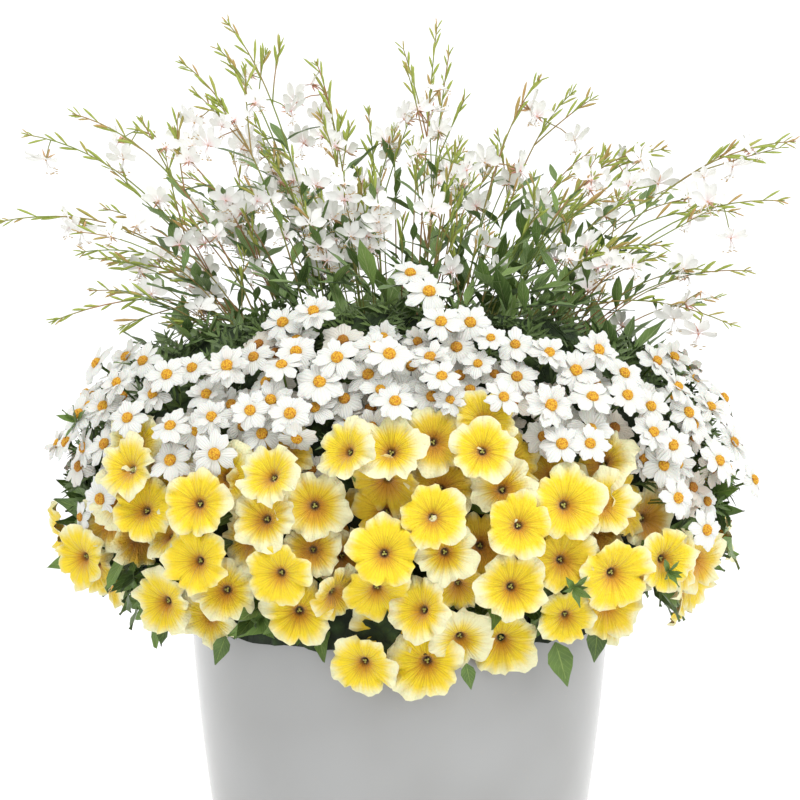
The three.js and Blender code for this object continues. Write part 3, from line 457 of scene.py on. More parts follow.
# Streaks that run outwards from a centre, for veins and pleats
streakGroup, given = newGroup("radialStreaks", "ShaderNodeTree", {
    "Fineness": "Float", "Along": "Float"}, {"Value": "Float"})
flat = attribute(streakGroup, "local", "Vector").vector("MULTIPLY", {1: (1.0, 1.0, 0.0)})
spread = flat.vector("NORMALIZE", {}).vector("SCALE", {"Scale": given["Fineness"]})
height = flat.vector("LENGTH", {}, 1) * given["Along"] + attribute(streakGroup, "tone") * 50.0
lift = addNode(streakGroup, "ShaderNodeCombineXYZ", {2: height})
streak = addNode(streakGroup, "ShaderNodeTexNoise", {
    "Vector": spread.vector("ADD", {1: lift.outputs[0]}), "Scale": 1.0, "Detail": 3.0})
addNode(streakGroup, "NodeGroupOutput", {"Value": streak.outputs[0]})


# The colour that a shader takes for a red, green and blue of 0 to 255
def linear(red, green, blue):
    shares = (value / 255 for value in (red, green, blue))
    return tuple(s / 12.92 if s <= 0.04045 else ((s + 0.055) / 1.055) ** 2.4 for s in shares) + (1.0,)


# A material in the making
class Finish:
    def __init__(self, name, roughness, **fixed):
        self.material = bpy.data.materials.new(name)
        self.material.use_nodes = True
        self.tree = self.material.node_tree
        self.tree.nodes.clear()
        values = {key.replace("_", " "): value for key, value in fixed.items()}
        self.shader = addNode(self.tree, "ShaderNodeBsdfPrincipled", {"Roughness": roughness} | values)
        addNode(self.tree, "ShaderNodeOutputMaterial", {"Surface": self.shader.outputs[0]})

    def wires(self, kind, outs, values=None, **settings):
        node = addNode(self.tree, kind, values, **settings)
        return [Wire(self.tree, node.outputs[out]) for out in outs]

    def own(self, name, out="Fac"):
        return attribute(self.tree, name, out)

    # Across and along a blade or petal
    def acrossAlong(self):
        uv, = self.wires("ShaderNodeUVMap", [0], uv_map="own")
        return self.wires("ShaderNodeSeparateXYZ", [0, 1], {0: uv})

    def mottle(self, scale, detail=2.0):
        values = {"Scale": scale, "Detail": detail, "Shift": 40.0}
        return self.wires("ShaderNodeGroup", ["Value", "Tone"], values, node_tree=mottleGroup)

    def streaks(self, fineness, along):
        values = {"Fineness": fineness, "Along": along}
        return self.wires("ShaderNodeGroup", [0], values, node_tree=streakGroup)[0]

    def noise(self, scale, detail=2.0):
        place, = self.wires("ShaderNodeTexCoord", ["Object"])
        return self.wires("ShaderNodeTexNoise", [0], {"Vector": place, "Scale": scale, "Detail": detail})[0]

    def cells(self, place, scale):
        return self.wires("ShaderNodeTexVoronoi", [0], {"Vector": place, "Scale": scale})[0]

    def blend(self, share, a, b, mode="MIX"):
        a, b = (linear(*colour) if isinstance(colour, tuple) else colour for colour in (a, b))
        return self.wires("ShaderNodeMix", [2], {0: share, 6: a, 7: b}, data_type="RGBA", blend_type=mode)[0]

    def done(self, colour, height=None, distance=0.0, strength=1.0):
        self.tree.links.new(colour.socket, self.shader.inputs["Base Color"])
        if height:
            values = {"Height": height, "Distance": distance, "Strength": strength}
            bump = addNode(self.tree, "ShaderNodeBump", values)
            self.tree.links.new(bump.outputs[0], self.shader.inputs["Normal"])
        return self.material


# Two colours in patches
def mottled(name, roughness, scale, first, second):
    finish = Finish(name, roughness)
    return finish.done(finish.blend(finish.mottle(scale)[0], first, second))


# Forms that are repeated
class Form:
    def __init__(self, name):
        self.name = name
        self.points, self.local, self.faces, self.corners, self.parts = [], [], [], [], []
        self.sharp = set()

    def point(self, place, local=None):
        self.points.append(Vector(place))
        self.local.append(Vector(local if local is not None else place))
        return len(self.points) - 1

    def face(self, ids, uvs, part):
        self.faces.append(ids)
        self.corners.append(uvs)
        self.parts.append(part)

    # The face from row i to the next, between column k and the next
    def band(self, rows, i, k, columns, last, part, turned=False):
        order = [(i, k), (i, k + 1), (i + 1, k + 1), (i + 1, k)]
        order = order[::-1] if turned else order
        uvs = [(b / columns, a / last) for a, b in order]
        self.face([rows[a][b % len(rows[a])] for a, b in order], uvs, part)

    # Thin closed blade through rows of points: a front and a back that share their border
    def sheet(self, rows, thickness, part, around=False, capped=False):
        count, width = len(rows), len(rows[0])
        steps = width if around else width - 1
        front, back = [[] for row in rows], [[] for row in rows]
        for i, row in enumerate(rows):
            for j, place in enumerate(row):
                later = rows[min(i + 1, count - 1)][j] - rows[max(i - 1, 0)][j]
                right = row[(j + 1) % width if around else min(j + 1, width - 1)]
                left = row[(j - 1) % width if around else max(j - 1, 0)]
                normal = (right - left).cross(later)
                normal = normal.normalized() if normal.length > 1e-9 else upward
                shift = normal * thickness / 2
                if i == count - 1 or (i == 0 and not capped) or (not around and j in (0, width - 1)):
                    front[i].append(self.point(place))
                    back[i].append(front[i][j])
                else:
                    front[i].append(self.point(place + shift, place))
                    back[i].append(self.point(place - shift, place))
        for i in range(count - 1):
            for j in range(steps):
                self.band(front, i, j, steps, count - 1, part)
                self.band(back, i, j, steps, count - 1, part, True)
        for ring, down, flip in ((front[0], 0.2, False), (back[0], 0.6, True)) if capped else ():
            centre = sum((self.points[k] for k in ring), Vector()) / width
            radius = (self.points[ring[0]] - centre).length
            hub = self.point(centre - upward * (radius * down), rows[0][0] * 0.2)
            for a, b in zip(ring, ring[1:] + ring[:1]):
                self.face([hub, a, b] if flip else [hub, b, a], [(0.5, 0.0)] * 3, part)
        edges = [(front[-1][j], front[-1][(j + 1) % width]) for j in range(steps)]
        if not around:
            edges += zip(front[0], front[0][1:])
            for side in (0, -1):
                edges += [(a[side], b[side]) for a, b in zip(front, front[1:])]
        self.sharp.update(tuple(sorted(edge)) for edge in edges)

    # Closed round body along points, with a radius at each; both ends are flat
    def rod(self, path, radii, sides, part):
        rings = []
        across = Vector((1, 0, 0))
        for i, place in enumerate(path):
            ahead = (path[min(i + 1, len(path) - 1)] - path[max(i - 1, 0)]).normalized()
            if abs(ahead.dot(across)) > 0.9:
                across = Vector((0, 1, 0))
            u = (across - ahead * across.dot(ahead)).normalized()
            v = ahead.cross(u)
            rings.append([self.point(place + (u * math.cos(t) + v * math.sin(t)) * radii[i])
                          for t in angles(sides)])
        for i in range(len(rings) - 1):
            for k in range(sides):
                self.band(rings, i, k, sides, len(rings), part)
        self.face(rings[0][::-1], [(0.5, 0.0)] * sides, part)
        self.face(rings[-1], [(0.5, 1.0)] * sides, part)

    # Bead of few faces
    def bead(self, centre, radius, part, sides=5):
        top, low = self.point(centre + upward * radius), self.point(centre - upward * radius)
        ring = [self.point(centre + polar(t) * radius) for t in angles(sides)]
        for a, b in zip(ring, ring[1:] + ring[:1]):
            self.face([top, a, b], [(0.5, 1.0)] * 3, part)
            self.face([low, b, a], [(0.5, 0.0)] * 3, part)

    def build(self):
        mesh = bpy.data.meshes.new(self.name)
        mesh.from_pydata([p * mm for p in self.points], [], self.faces)
        uvs = [value for corner in self.corners for uv in corner for value in uv]
        mesh.uv_layers.new(name="own").data.foreach_set("uv", uvs)
        local = mesh.attributes.new("local", "FLOAT_VECTOR", "POINT")
        local.data.foreach_set("vector", [value for p in self.local for value in p])
        mesh.attributes.new("part", "INT", "FACE").data.foreach_set("value", self.parts)
        mesh.shade_smooth()
        sharp = mesh.attributes.new("sharp_edge", "BOOLEAN", "EDGE")
        sharp.data.foreach_set("value", [tuple(sorted(e.vertices)) in self.sharp for e in mesh.edges])
        mesh.validate()
        return bpy.data.objects.new(self.name, mesh)


# Geometry Nodes: forms set on points, with up to three materials by part
materialInputs = ("First Material", "Second Material", "Third Material")


def scatterTree():
    inputs = {"Points": "Geometry", "Forms": "Collection"} | {name: "Material" for name in materialInputs}
    tree, given = newGroup("scatterForms", "GeometryNodeTree", inputs, {"Geometry": "Geometry"})
    forms = addNode(tree, "GeometryNodeCollectionInfo", {
        "Collection": given["Forms"], "Separate Children": True, "Reset Children": True})

    def named(name, kind):
        node = addNode(tree, "GeometryNodeInputNamedAttribute", {"Name": name}, data_type=kind)
        return next(s for s in node.outputs if s.enabled and s.name == "Attribute")

    turn = addNode(tree, "FunctionNodeEulerToRotation", {0: named("turn", "FLOAT_VECTOR")})
    spread = addNode(tree, "GeometryNodeInstanceOnPoints", {
        "Points": given["Points"], "Instance": forms.outputs[0], "Pick Instance": True,
        "Instance Index": named("form", "INT"), "Rotation": turn.outputs[0],
        "Scale": named("size", "FLOAT_VECTOR"),
    })
    last = addNode(tree, "GeometryNodeRealizeInstances", {"Geometry": spread.outputs[0]}).outputs[0]
    for index, name in enumerate(materialInputs):
        chosen = addNode(tree, "FunctionNodeCompare", data_type="INT", operation="EQUAL")
        part, number = [s for s in chosen.inputs if s.enabled][:2]
        tree.links.new(named("part", "INT"), part)
        number.default_value = index
        last = addNode(tree, "GeometryNodeSetMaterial", {
            "Geometry": last, "Selection": chosen.outputs[0], "Material": given[name]}).outputs[0]
    addNode(tree, "NodeGroupOutput", {"Geometry": last})
    return tree


scatter = scatterTree()


# An object with its node tree applied, as one plain mesh piece
def bakedPiece(name, source, tree, inputs, copies):
    modifier = source.modifiers.new("nodes", "NODES")
    modifier.node_group = tree
    for item in tree.interface.items_tree:
        if item.in_out == "INPUT" and item.name in inputs:
            modifier[item.identifier] = inputs[item.name]
    bpy.context.view_layer.update()
    graph = bpy.context.evaluated_depsgraph_get()
    result = bpy.data.meshes.new_from_object(source.evaluated_get(graph), preserve_all_data_layers=True,
                                             depsgraph=graph)
    result.name = name
    bpy.data.objects.remove(source)
    print("piece", name, "copies", copies, "triangles", sum(len(p.vertices) - 2 for p in result.polygons))
    return addObject(name, result)


# Copies of forms at places given in mm
def scatterPiece(name, forms, spots, materials):
    mesh = bpy.data.meshes.new(name + "Points")
    mesh.from_pydata([spot["at"] * mm for spot in spots], [], [])
    vectors = {
        "turn": [v for spot in spots for v in spot["matrix"].to_euler()],
        "size": [spot["scale"] for spot in spots for axis in range(3)],
        "down": [v for spot in spots for v in spot.get("down", Vector())],
    }
    for key, data in vectors.items():
        mesh.attributes.new(key, "FLOAT_VECTOR", "POINT").data.foreach_set("vector", data)
    for key, kind in (("form", "INT"), ("tone", "FLOAT"), ("ageShade", "FLOAT")):
        data = [spot.get(key, 0) for spot in spots]
        mesh.attributes.new(key, kind, "POINT").data.foreach_set("value", data)
    points = addObject(name + "Points", mesh)
    store = bpy.data.collections.new(name + "Forms")
    scene.collection.children.link(store)
    made = [form.build() for form in forms]
    for item in made:
        store.objects.link(item)
    inputs = {"Forms": store} | dict(zip(materialInputs, materials))
    piece = bakedPiece(name, points, scatter, inputs, len(spots))
    for item in made:
        bpy.data.objects.remove(item)
    bpy.data.collections.remove(store)
    return piece


def finishPiece(piece, nodes):
    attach(piece, "root")
    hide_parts(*nodes)


petuniaNodes, bidensNodes, gauraNodes = (
    [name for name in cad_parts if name.startswith(plant)] for plant in ("petunia", "bidens", "gaura"))

# Petunia blooms
petuniaSet = {
    "columns": 50, "variants": 7, "thickness": 0.5, "lobes": 5, "lobe": 0.055, "notch": 0.11, "ruffle": 0.1,
    "profile": [(0.07, -0.5), (0.11, -0.41), (0.16, -0.32), (0.25, -0.23), (0.4, -0.15), (0.58, -0.08),
                (0.76, -0.03), (0.9, -0.005), (1.0, -0.03)],
    "waves": ((0.8, 7), (0.8, 12), (0.7, 15)), "rim": ((0.03, 13, 0), (0.026, 9, 3)),
    "stalk": ((-1, 3.0), (-8, 3.6), (-12, 2.2), (-30, 1.3)), "beads": 4, "bead": 1.05,
    "cream": (242, 234, 184), "yellow": (247, 212, 20), "amber": (230, 160, 34), "throat": (96, 66, 20),
    "vein": (184, 122, 20), "oldAndShaded": (206, 152, 58), "green": (96, 128, 48), "paleGreen": (128, 150, 66),
    "heart": (206, 204, 122), "darkHeart": (170, 176, 84), "mainVeins": 15, "veins": 45,
    "sizes": (0.97, 1.05), "ageShadeFrom": 8, "ageShadeSpan": 32, "ageShadeSpread": (-0.15, 0.2),
}


def petuniaForm(index):
    form = Form(f"petunia{index:02d}")
    draw = random.Random(100 + index)
    radius, lobes = layoutSet["petunia"], petuniaSet["lobes"]
    waves = [(draw.uniform(0, math.tau), draw.uniform(0.7, 1.2)) for _ in range(4)]
    lobeSize = [draw.uniform(0.9, 1.08) for _ in range(lobes)]
    lobeTilt = [draw.uniform(-0.14, 0.12) for _ in range(lobes)]
    rows = []
    for share, drop in petuniaSet["profile"]:
        rows.append([])
        for t in angles(petuniaSet["columns"]):
            lobe = t / math.tau * lobes
            k, local = int(lobe) % lobes, lobe % 1 - 0.5
            beside = (k + 1 if local > 0 else k - 1) % lobes
            blend = max(0.0, abs(local) - 0.25) * 2
            size = mix(lobeSize[k], lobeSize[beside], blend)
            tilt = mix(lobeTilt[k], lobeTilt[beside], blend)
            swell = math.cos(math.tau * local)
            reach = size * (1 + petuniaSet["lobe"] * swell)
            reach -= petuniaSet["notch"] * math.exp(-((abs(local) - 0.5) / 0.06) ** 2)
            reach += sum(high * math.sin(often * t + waves[n][0]) for high, often, n in petuniaSet["rim"])
            ripple = petuniaSet["ruffle"] * sum(
                high * strength * math.sin(often * t + phase)
                for (high, often), (phase, strength) in zip(petuniaSet["waves"], waves))
            fold = -0.06 * math.exp(-((abs(local) - 0.5) / 0.1) ** 2) - 0.03 * math.exp(-(local / 0.08) ** 2)
            high = drop + share ** 2.7 * (ripple + tilt) + share ** 2 * (fold + 0.02 * swell)
            rows[-1].append(polar(t, share * mix(1.0, reach, share ** 1.5) * radius, high * radius))
    form.sheet(rows, petuniaSet["thickness"], 0, around=True, capped=True)
    low = petuniaSet["profile"][0][1] * radius
    path, radii = zip(*((upward * (low + down), wide) for down, wide in petuniaSet["stalk"]))
    form.rod(path, radii, 6, 1)
    for k in range(petuniaSet["beads"]):
        place = polar(math.tau * k / 3 + 0.3, 1.3 if k else 0, -0.4 * radius + k * 0.4)
        form.bead(place, petuniaSet["bead"], 2)
    return form


def petuniaMaterials():
    colours = petuniaSet
    petal = Finish("petuniaPetal", 0.55, Sheen_Weight=0.25, Sheen_Roughness=0.4, Subsurface_Weight=0.12,
                   Subsurface_Scale=0.004)
    flat = petal.own("local", "Vector").vector("MULTIPLY", {1: (1.0, 1.0, 0.0)})
    far = flat.vector("LENGTH", {}, 1)
    reach = far.maths("DIVIDE", layoutSet["petunia"])
    # painted shade: lower measures how far a point lies towards the bloom's lower side, where the amber is made
    # to reach further out
    lower = flat.vector("DOT_PRODUCT", {1: petal.own("down", "Vector")}, 1)
    lower = lower.maths("DIVIDE", layoutSet["petunia"])
    patch, tone = petal.mottle(0.09)
    crinkle = petal.mottle(0.5, 3.0)[0]
    ageShade = petal.own("ageShade")
    broad, fine, hair = petal.streaks(2.6, 0.03), petal.streaks(9.0, 0.05), petal.streaks(19.0, 0.08)
    # where yellow gives way to the pale margin: uneven, along the veins
    margin = reach + (broad - 0.5) * 0.4 + (fine - 0.5) * 0.3 + (tone - 0.5) * 0.4
    # the amber centre is the bloom's own colour; it reaches further towards the lower side as painted shade
    # from light above, and further on deeper blooms, partly as ageing and partly as painted shade
    amberAndShade = reach - lower * 0.3 - ageShade * 0.25
    body = petal.blend(amberAndShade.smooth(0.44, 0.06), colours["yellow"], colours["amber"])
    # deeper blooms turn duller and darker amber: partly ageing, partly painted shade
    body = petal.blend(ageShade * 0.7, body, colours["oldAndShaded"])
    body = petal.blend(margin.smooth(0.56, 1.0), body, colours["cream"])
    x, y = petal.wires("ShaderNodeSeparateXYZ", [0, 1], {0: flat})
    angle = y.maths("ARCTAN2", x)

    # veins as thin lines from the throat, wavering a little
    def veinLines(count, width, start, end, strength):
        waver = count / colours["mainVeins"]
        turns = angle * (count / math.tau) + patch * (0.3 * waver) + crinkle * (0.12 * waver) + tone * 7.0
        gap = (turns.maths("FRACT") - 0.5).maths("ABSOLUTE") * far * (math.tau / count)
        return gap.smooth(width, width * 0.3) * (reach.smooth(end, start) * strength)

    lines = veinLines(colours["mainVeins"], 0.68, 0.15, 1.0, 0.55).maths(
        "MAXIMUM", veinLines(colours["veins"], 0.5, 0.3, 0.95, 0.34))
    body = petal.blend(lines, body, colours["vein"])
    # painted shade: the dark brown centre is partly the throat's own colour and partly the shade of a deep
    # tube, which the shallow closed funnel lacks
    body = petal.blend(reach.smooth(0.19, 0.07), body, colours["throat"])
    body = petal.blend(patch * 0.15, body, (255, 255, 243.1), "OVERLAY")
    return (petal.done(body, hair * 0.5 + fine - lines * 0.5 + crinkle * 0.8, 0.0022, 0.8),
            mottled("petuniaCalyx", 0.6, 0.3, colours["green"], colours["paleGreen"]),
            mottled("petuniaHeart", 0.45, 0.8, colours["heart"], colours["darkHeart"]))


variety = random.Random(71)


def bloomSpots(kind, setting):
    spots = []
    for head in heads[kind]:
        matrix = facingMatrix(head["facing"], head["turn"])
        # the world's downward direction in the bloom's own plane, which steers the petals' painted shade
        down = matrix.transposed() @ -upward
        down.z = 0
        spots.append({
            "at": head["at"], "matrix": matrix, "down": down,
            "scale": head["size"] * variety.uniform(*setting["sizes"]),
            "form": variety.randrange(setting["variants"]),
            "tone": clamped(variety.gauss(0.45, 0.3)) if kind == "petunia" else variety.random(),
            # grows with the bloom's depth in the mound: partly ageing, partly painted shade of the deeper
            # blooms
            "ageShade": clamped((head["depth"] - setting["ageShadeFrom"]) / setting["ageShadeSpan"]
                           + variety.uniform(*setting["ageShadeSpread"])),
        })
    return spots


petuniaForms = [petuniaForm(i) for i in range(petuniaSet["variants"])]
finishPiece(scatterPiece("petuniaBlooms", petuniaForms, bloomSpots("petunia", petuniaSet), petuniaMaterials()),
            petuniaNodes)
print("stage: petunias")

# Bidens heads
bidensSet = {
    "variants": 6, "thickness": 0.45, "disc": 0.27, "along": 5, "across": 3, "sides": 12,
    "rays": (7, 8, 8, 6, 7, 8), "swell": (0.3, 0.62, 0.9, 1.0, 0.94, 0.6), "tip": (-0.1, 0.015, 0.015, -0.1),
    "discLayers": ((1.0, 0.0), (0.86, 0.42), (0.5, 0.66)), "florets": 0.12,
    "stalk": (((0, 0, -0.4), 4.4), ((0, 0, -3.4), 3.8), ((0, 0, -6), 1.3), ((1.5, 1, -38), 0.8)),
    "ray": (230, 229, 223), "rayBase": (226, 226, 212), "pleatShade": (190, 190, 184), "oldAndShaded": (214, 196, 172),
    "disc1": (240, 188, 46), "disc2": (200, 124, 26), "discOldAndShaded": (150, 84, 30), "green": (88, 118, 48),
    "paleGreen": (112, 134, 60), "sizes": (0.94, 1.06), "ageShadeFrom": 0, "ageShadeSpan": 42.5, "ageShadeSpread": (-0.1, 0.35),
}


def bidensForm(index):
    form = Form(f"bidens{index:02d}")
    draw = random.Random(300 + index)
    radius = layoutSet["bidens"]
    rounds = [(bidensSet["rays"][index], 1.0, 0.0)] + ([(4, 0.72, 0.35)] if index % 3 == 2 else [])
    for number, length, lift in rounds:
        for k in range(number):
            t = math.tau * k / number + draw.uniform(-0.14, 0.14) + lift * 2
            reach = length * draw.uniform(0.9, 1.06) * radius
            wide = draw.uniform(0.255, 0.31) * radius * (7.6 / max(6.0, number)) * (1.0 if lift == 0 else 0.6)
            rise = draw.uniform(-0.14, 0.2) + lift
            roll = draw.uniform(-0.25, 0.25)
            tips = [tip + draw.uniform(-0.02, 0.02) for tip in bidensSet["tip"]]
            rows = []
            for i, swell in enumerate(bidensSet["swell"]):
                s = i / bidensSet["along"]
                rows.append([])
                for j, tip in enumerate(tips):
                    c = j / bidensSet["across"] * 2 - 1
                    along = mix(0.14 * radius, reach, s) * (1 + (tip if s == 1 else 0))
                    along -= s ** 3 * 0.05 * c * c * reach
                    high = radius * (rise * s - 0.16 * s * s + 0.05 * (1 - c * c) * s)
                    high += radius * 0.018 * math.cos(c * math.pi * 2) * s + roll * c * wide * s
                    side = polar(t + math.pi / 2, c * wide * swell)
                    rows[-1].append(polar(t) * along - side + upward * high)
            form.sheet(rows, bidensSet["thickness"], 0)
    # raised disc of florets
    disc = bidensSet["disc"] * radius
    rings = []
    for wide, high in bidensSet["discLayers"]:
        bumps = [bidensSet["florets"] if (k + len(rings)) % 2 else 0 for k in range(bidensSet["sides"])]
        rings.append([form.point(polar(t, disc * wide, disc * (high + bump)))
                      for t, bump in zip(angles(len(bumps)), bumps)])
    top, base = form.point(upward * disc * 0.7), form.point(-upward * disc * 0.4)
    for k in range(bidensSet["sides"]):
        n = (k + 1) % bidensSet["sides"]
        for a, b in zip(rings, rings[1:]):
            form.face([a[k], a[n], b[n], b[k]], [(0.5, 0.5)] * 4, 1)
        form.face([rings[-1][k], rings[-1][n], top], [(0.5, 1.0)] * 3, 1)
        form.face([rings[0][n], rings[0][k], base], [(0.5, 0.0)] * 3, 1)
    path, radii = zip(*((Vector(place), wide) for place, wide in bidensSet["stalk"]))
    form.rod(path, radii, 6, 2)
    return form


def bidensMaterials():
    colours = bidensSet
    ray = Finish("bidensRay", 0.6, Subsurface_Weight=0.1, Subsurface_Scale=0.003)
    across, along = ray.acrossAlong()
    waves = (across * 31.0 + (ray.mottle(0.25)[0] - 0.5) * 1.6).maths("SINE")
    colour = ray.blend(along.smooth(0.0, 0.4), colours["rayBase"], colours["ray"])
    # painted shade: faint grey lines along the ray's pleats, on the same lines as the bump
    colour = ray.blend(waves.smooth(0.55, 1.0) * 0.2, colour, colours["pleatShade"])
    # deeper heads turn beige: partly ageing, partly painted shade
    colour = ray.blend(ray.own("ageShade").smooth(0.55, 1.1, 0.0, 0.6), colour, colours["oldAndShaded"])
    disc = Finish("bidensDisc", 0.75)
    cells = disc.cells(disc.own("local", "Vector"), 0.62)
    core = disc.blend(cells.smooth(0.25, 0.85), colours["disc1"], colours["disc2"])
    # the discs of deeper heads turn brown: partly ageing, partly painted shade
    core = disc.blend(disc.own("ageShade").smooth(0.3, 1.1, 0.0, 0.8), core, colours["discOldAndShaded"])
    return (ray.done(colour, waves, 0.0004, 0.5), disc.done(core, cells * -1.0, 0.0012),
            mottled("bidensStalk", 0.6, 0.3, colours["green"], colours["paleGreen"]))


bidensForms = [bidensForm(i) for i in range(bidensSet["variants"])]
finishPiece(scatterPiece("bidensBlooms", bidensForms, bloomSpots("bidens", bidensSet), bidensMaterials()),
            bidensNodes)
print("stage: bidens")

# Leaves
leafSet = {
    "seed": 905, "furthest": 0.955, "steps": 5, "stalk": 0.12, "thickness": 0.6, "shares": (0.4, 0.7, 1.0),
    "petunia": {"count": 1100, "length": 44, "depth": (20, 52), "out": (0.2, 0.9), "lift": (-0.55, 0.7),
                "size": (0.65, 1.0), "power": 1.0,
                "forms": [("leafA", 46, 25, 0.25, 0.12, 1, 1), ("leafB", 38, 22, 0.15, 0.3, 1, 2),
                          ("leafC", 52, 20, 0.35, -0.05, 1, 3)],
                "light": (112, 144, 56), "dark": (42, 68, 26), "rib": (152, 176, 92)},
    "bidens": {"count": 1350, "length": 34, "depth": (12, 52), "out": (0.2, 1.0), "lift": (-0.3, 0.9),
               "size": (0.8, 1.15), "power": 0.8,
               "light": (104, 132, 56), "dark": (44, 66, 28), "rib": (138, 158, 86)},
    "gaura": {"foot": 260, "crown": 130, "length": 46,
              "forms": [("lanceA", 46, 12, 0.3, 0.1, 0.6, 21, 0.8), ("lanceB", 38, 10, 0.2, 0.25, 0.6, 22, 0.8),
                        ("lanceC", 54, 14, 0.35, -0.05, 0.8, 23, 0.8)],
              "light": (126, 154, 74), "dark": (62, 94, 42), "rib": (168, 188, 120)},
    "hanging": [(133, 350, 0.3, 1.05), (172, 356, -0.1, 0.85), (56, 340, 0.2, 0.6), (-150, 352, -0.4, 0.7)],
    "shoots": [(-283, 527), (146, 405), (229, 410)], "shoot": 6,
    "fingers": [(0.0, 0.0, 34), (12, 0.75, 20), (12, -0.75, 20), (20, 0.6, 15), (20, -0.6, 15)],
    "finger": (0.5, 1.5, 1.3, 0.2), "fingerThickness": 0.5,
}
leafDraw = random.Random(leafSet["seed"])


def leafForm(name, length, width, fold, curl, wave, seed, blunt=0.5):
    form = Form(name)
    phase = random.Random(seed).uniform(0, math.tau)
    stalk = leafSet["stalk"]
    rows = []
    for i in range(leafSet["steps"] + 1):
        s = i / leafSet["steps"]
        shape = math.sin(math.pi * ((s - stalk) / (1 - stalk)) ** blunt) if s > stalk else 0.0
        half = width / 2 * max(0.05, shape)
        bend = curl * length * s * s
        flutter = wave * width * 0.12 * math.sin(phase + s * 9)
        rows.append([Vector((s * length, -c * half, abs(c) * fold * half + flutter * c * abs(c) - bend))
                     for c in (-1, 0, 1)])
    form.sheet(rows, leafSet["thickness"], 0)
    return form


def leafMaterial(kind):
    colours = leafSet[kind]
    leaf = Finish(kind + "Leaf", 0.5, Sheen_Weight=0.1, Coat_Weight=0.05)
    across, along = leaf.acrossAlong()
    patch, tone = leaf.mottle(0.08, 3.0)
    fromRib = (across - 0.5).maths("ABSOLUTE")
    side = (along * 44.0 - fromRib * 26.0).maths("SINE").smooth(0.8, 1.0)
    lines = (side * 0.25).maths("MAXIMUM", fromRib.smooth(0.05, 0.0) * 0.7)
    colour = leaf.blend((patch * 0.6).maths("ADD", tone * 0.5, True), colours["dark"], colours["light"])
    return leaf.done(leaf.blend(lines, colour, colours["rib"]), lines * -1.0, 0.0008, 0.8)


def leafSpot(at, out, up, scale, form, tone):
    x = out.normalized()
    y = up.cross(x)
    if y.length < 0.1:
        y = Vector((0, 1, 0)).cross(x)
    y.normalize()
    matrix = Matrix((x, y, x.cross(y))).transposed()
    return {"at": at, "matrix": matrix, "scale": scale, "form": form, "tone": tone}


# Tries places until enough leaves stand clear of the blooms' faces
def sowLeaves(count, length, pick, furthest=9.0):
    kept = []
    for attempt in range(count * 6):
        if len(kept) == count:
            break
        spot = pick()
        x = spot["matrix"].col[0] * spot["scale"] * length
        points = [spot["at"] + x * share for share in leafSet["shares"]]
        outside = points[-1].z > mound["bottom"] and moundShare(points[-1]) > furthest
        if not outside and not coversFace(points):
            kept.append(spot)
    return kept


def moundLeaves(kind):
    setting = leafSet[kind]

    def pick():
        angle = leafDraw.uniform(0, math.tau)
        low, top = backSet["lowest"], splitHeight(angle) + 10
        if kind == "bidens":
            low, top = splitHeight(angle) - 10, bodyTop(angle) + 6
        place = roundPlace(angle, mix(low, top, leafDraw.random() ** setting["power"]))
        normal = normalAt(place)
        depth = leafDraw.uniform(*setting["depth"])
        side = upward.cross(normal).normalized()
        out = normal * leafDraw.uniform(*setting["out"]) + side * leafDraw.uniform(-1, 1)
        out.z += leafDraw.uniform(*setting["lift"])
        return leafSpot(place - normal * depth, out, normal + Vector((0, 0, 0.4)),
                        leafDraw.uniform(*setting["size"]), leafDraw.randrange(3), leafDraw.random())

    return sowLeaves(setting["count"], setting["length"], pick, leafSet["furthest"])


# Leaves that hang over the pot, and young shoots that stand out between the blooms
spots = moundLeaves("petunia")
for x, z, lean, size in leafSet["hanging"]:
    at = Vector((x, -math.sqrt(mound["skirt"] ** 2 - x * x) - 4, z))
    spots.append(leafSpot(at, Vector((lean, -0.2, -1)), Vector((0, -1, 0.3)), size, 1, leafDraw.random()))
for x, z in leafSet["shoots"]:
    place = frontPlace(x, z)
    normal = normalAt(place)
    for k in range(leafSet["shoot"]):
        around = Vector((math.cos(k * 2.4), 0, math.sin(k * 2.4) + 0.3))
        spots.append(leafSpot(place, normal * leafDraw.uniform(0.3, 1.0) + around * 0.8, normal,
                              leafDraw.uniform(0.25, 0.4), 2, leafDraw.uniform(0.5, 1.0)))
petuniaLeaves = [leafForm(*form) for form in leafSet["petunia"]["forms"]]
finishPiece(scatterPiece("petuniaLeaves", petuniaLeaves, spots, [leafMaterial("petunia")] * 3),
            petuniaNodes)


# Fine leaf cut into narrow fingers
def featherForm(name, seed):
    form = Form(name)
    draw = random.Random(seed)
    for start, lean, length in leafSet["fingers"]:
        length *= draw.uniform(0.85, 1.15)
        lean += draw.uniform(-0.12, 0.12)
        out, side = polar(lean), polar(lean + math.pi / 2)
        rows = []
        for i, half in enumerate(leafSet["finger"]):
            s = i / 3
            bend = -0.12 * (start + s * length) * s
            rows.append([Vector((start, 0, bend + abs(c) * 0.3)) + out * s * length - side * (c * half)
                         for c in (-1, 0, 1)])
        form.sheet(rows, leafSet["fingerThickness"], 0)
    return form


finishPiece(scatterPiece("bidensLeaves", [featherForm(f"feather{i}", 40 + i) for i in range(3)],
                         moundLeaves("bidens"), [leafMaterial("bidens")] * 3), bidensNodes)
print("stage: leaves")

# Dense inner growth behind the leaves: stand-in foliage whose near-black green is partly painted shade deep in
# the mound
growthSet = {"bumps": 4.0, "inset": 6, "skirt": 198, "lower": 22, "steps": 150, "low": 346, "floor": 398,
             "inner": (150, 146), "under": (144, 148),
             "petunia": ((22, 36, 16), (64, 90, 38)), "bidens": ((34, 52, 22), (86, 112, 50))}


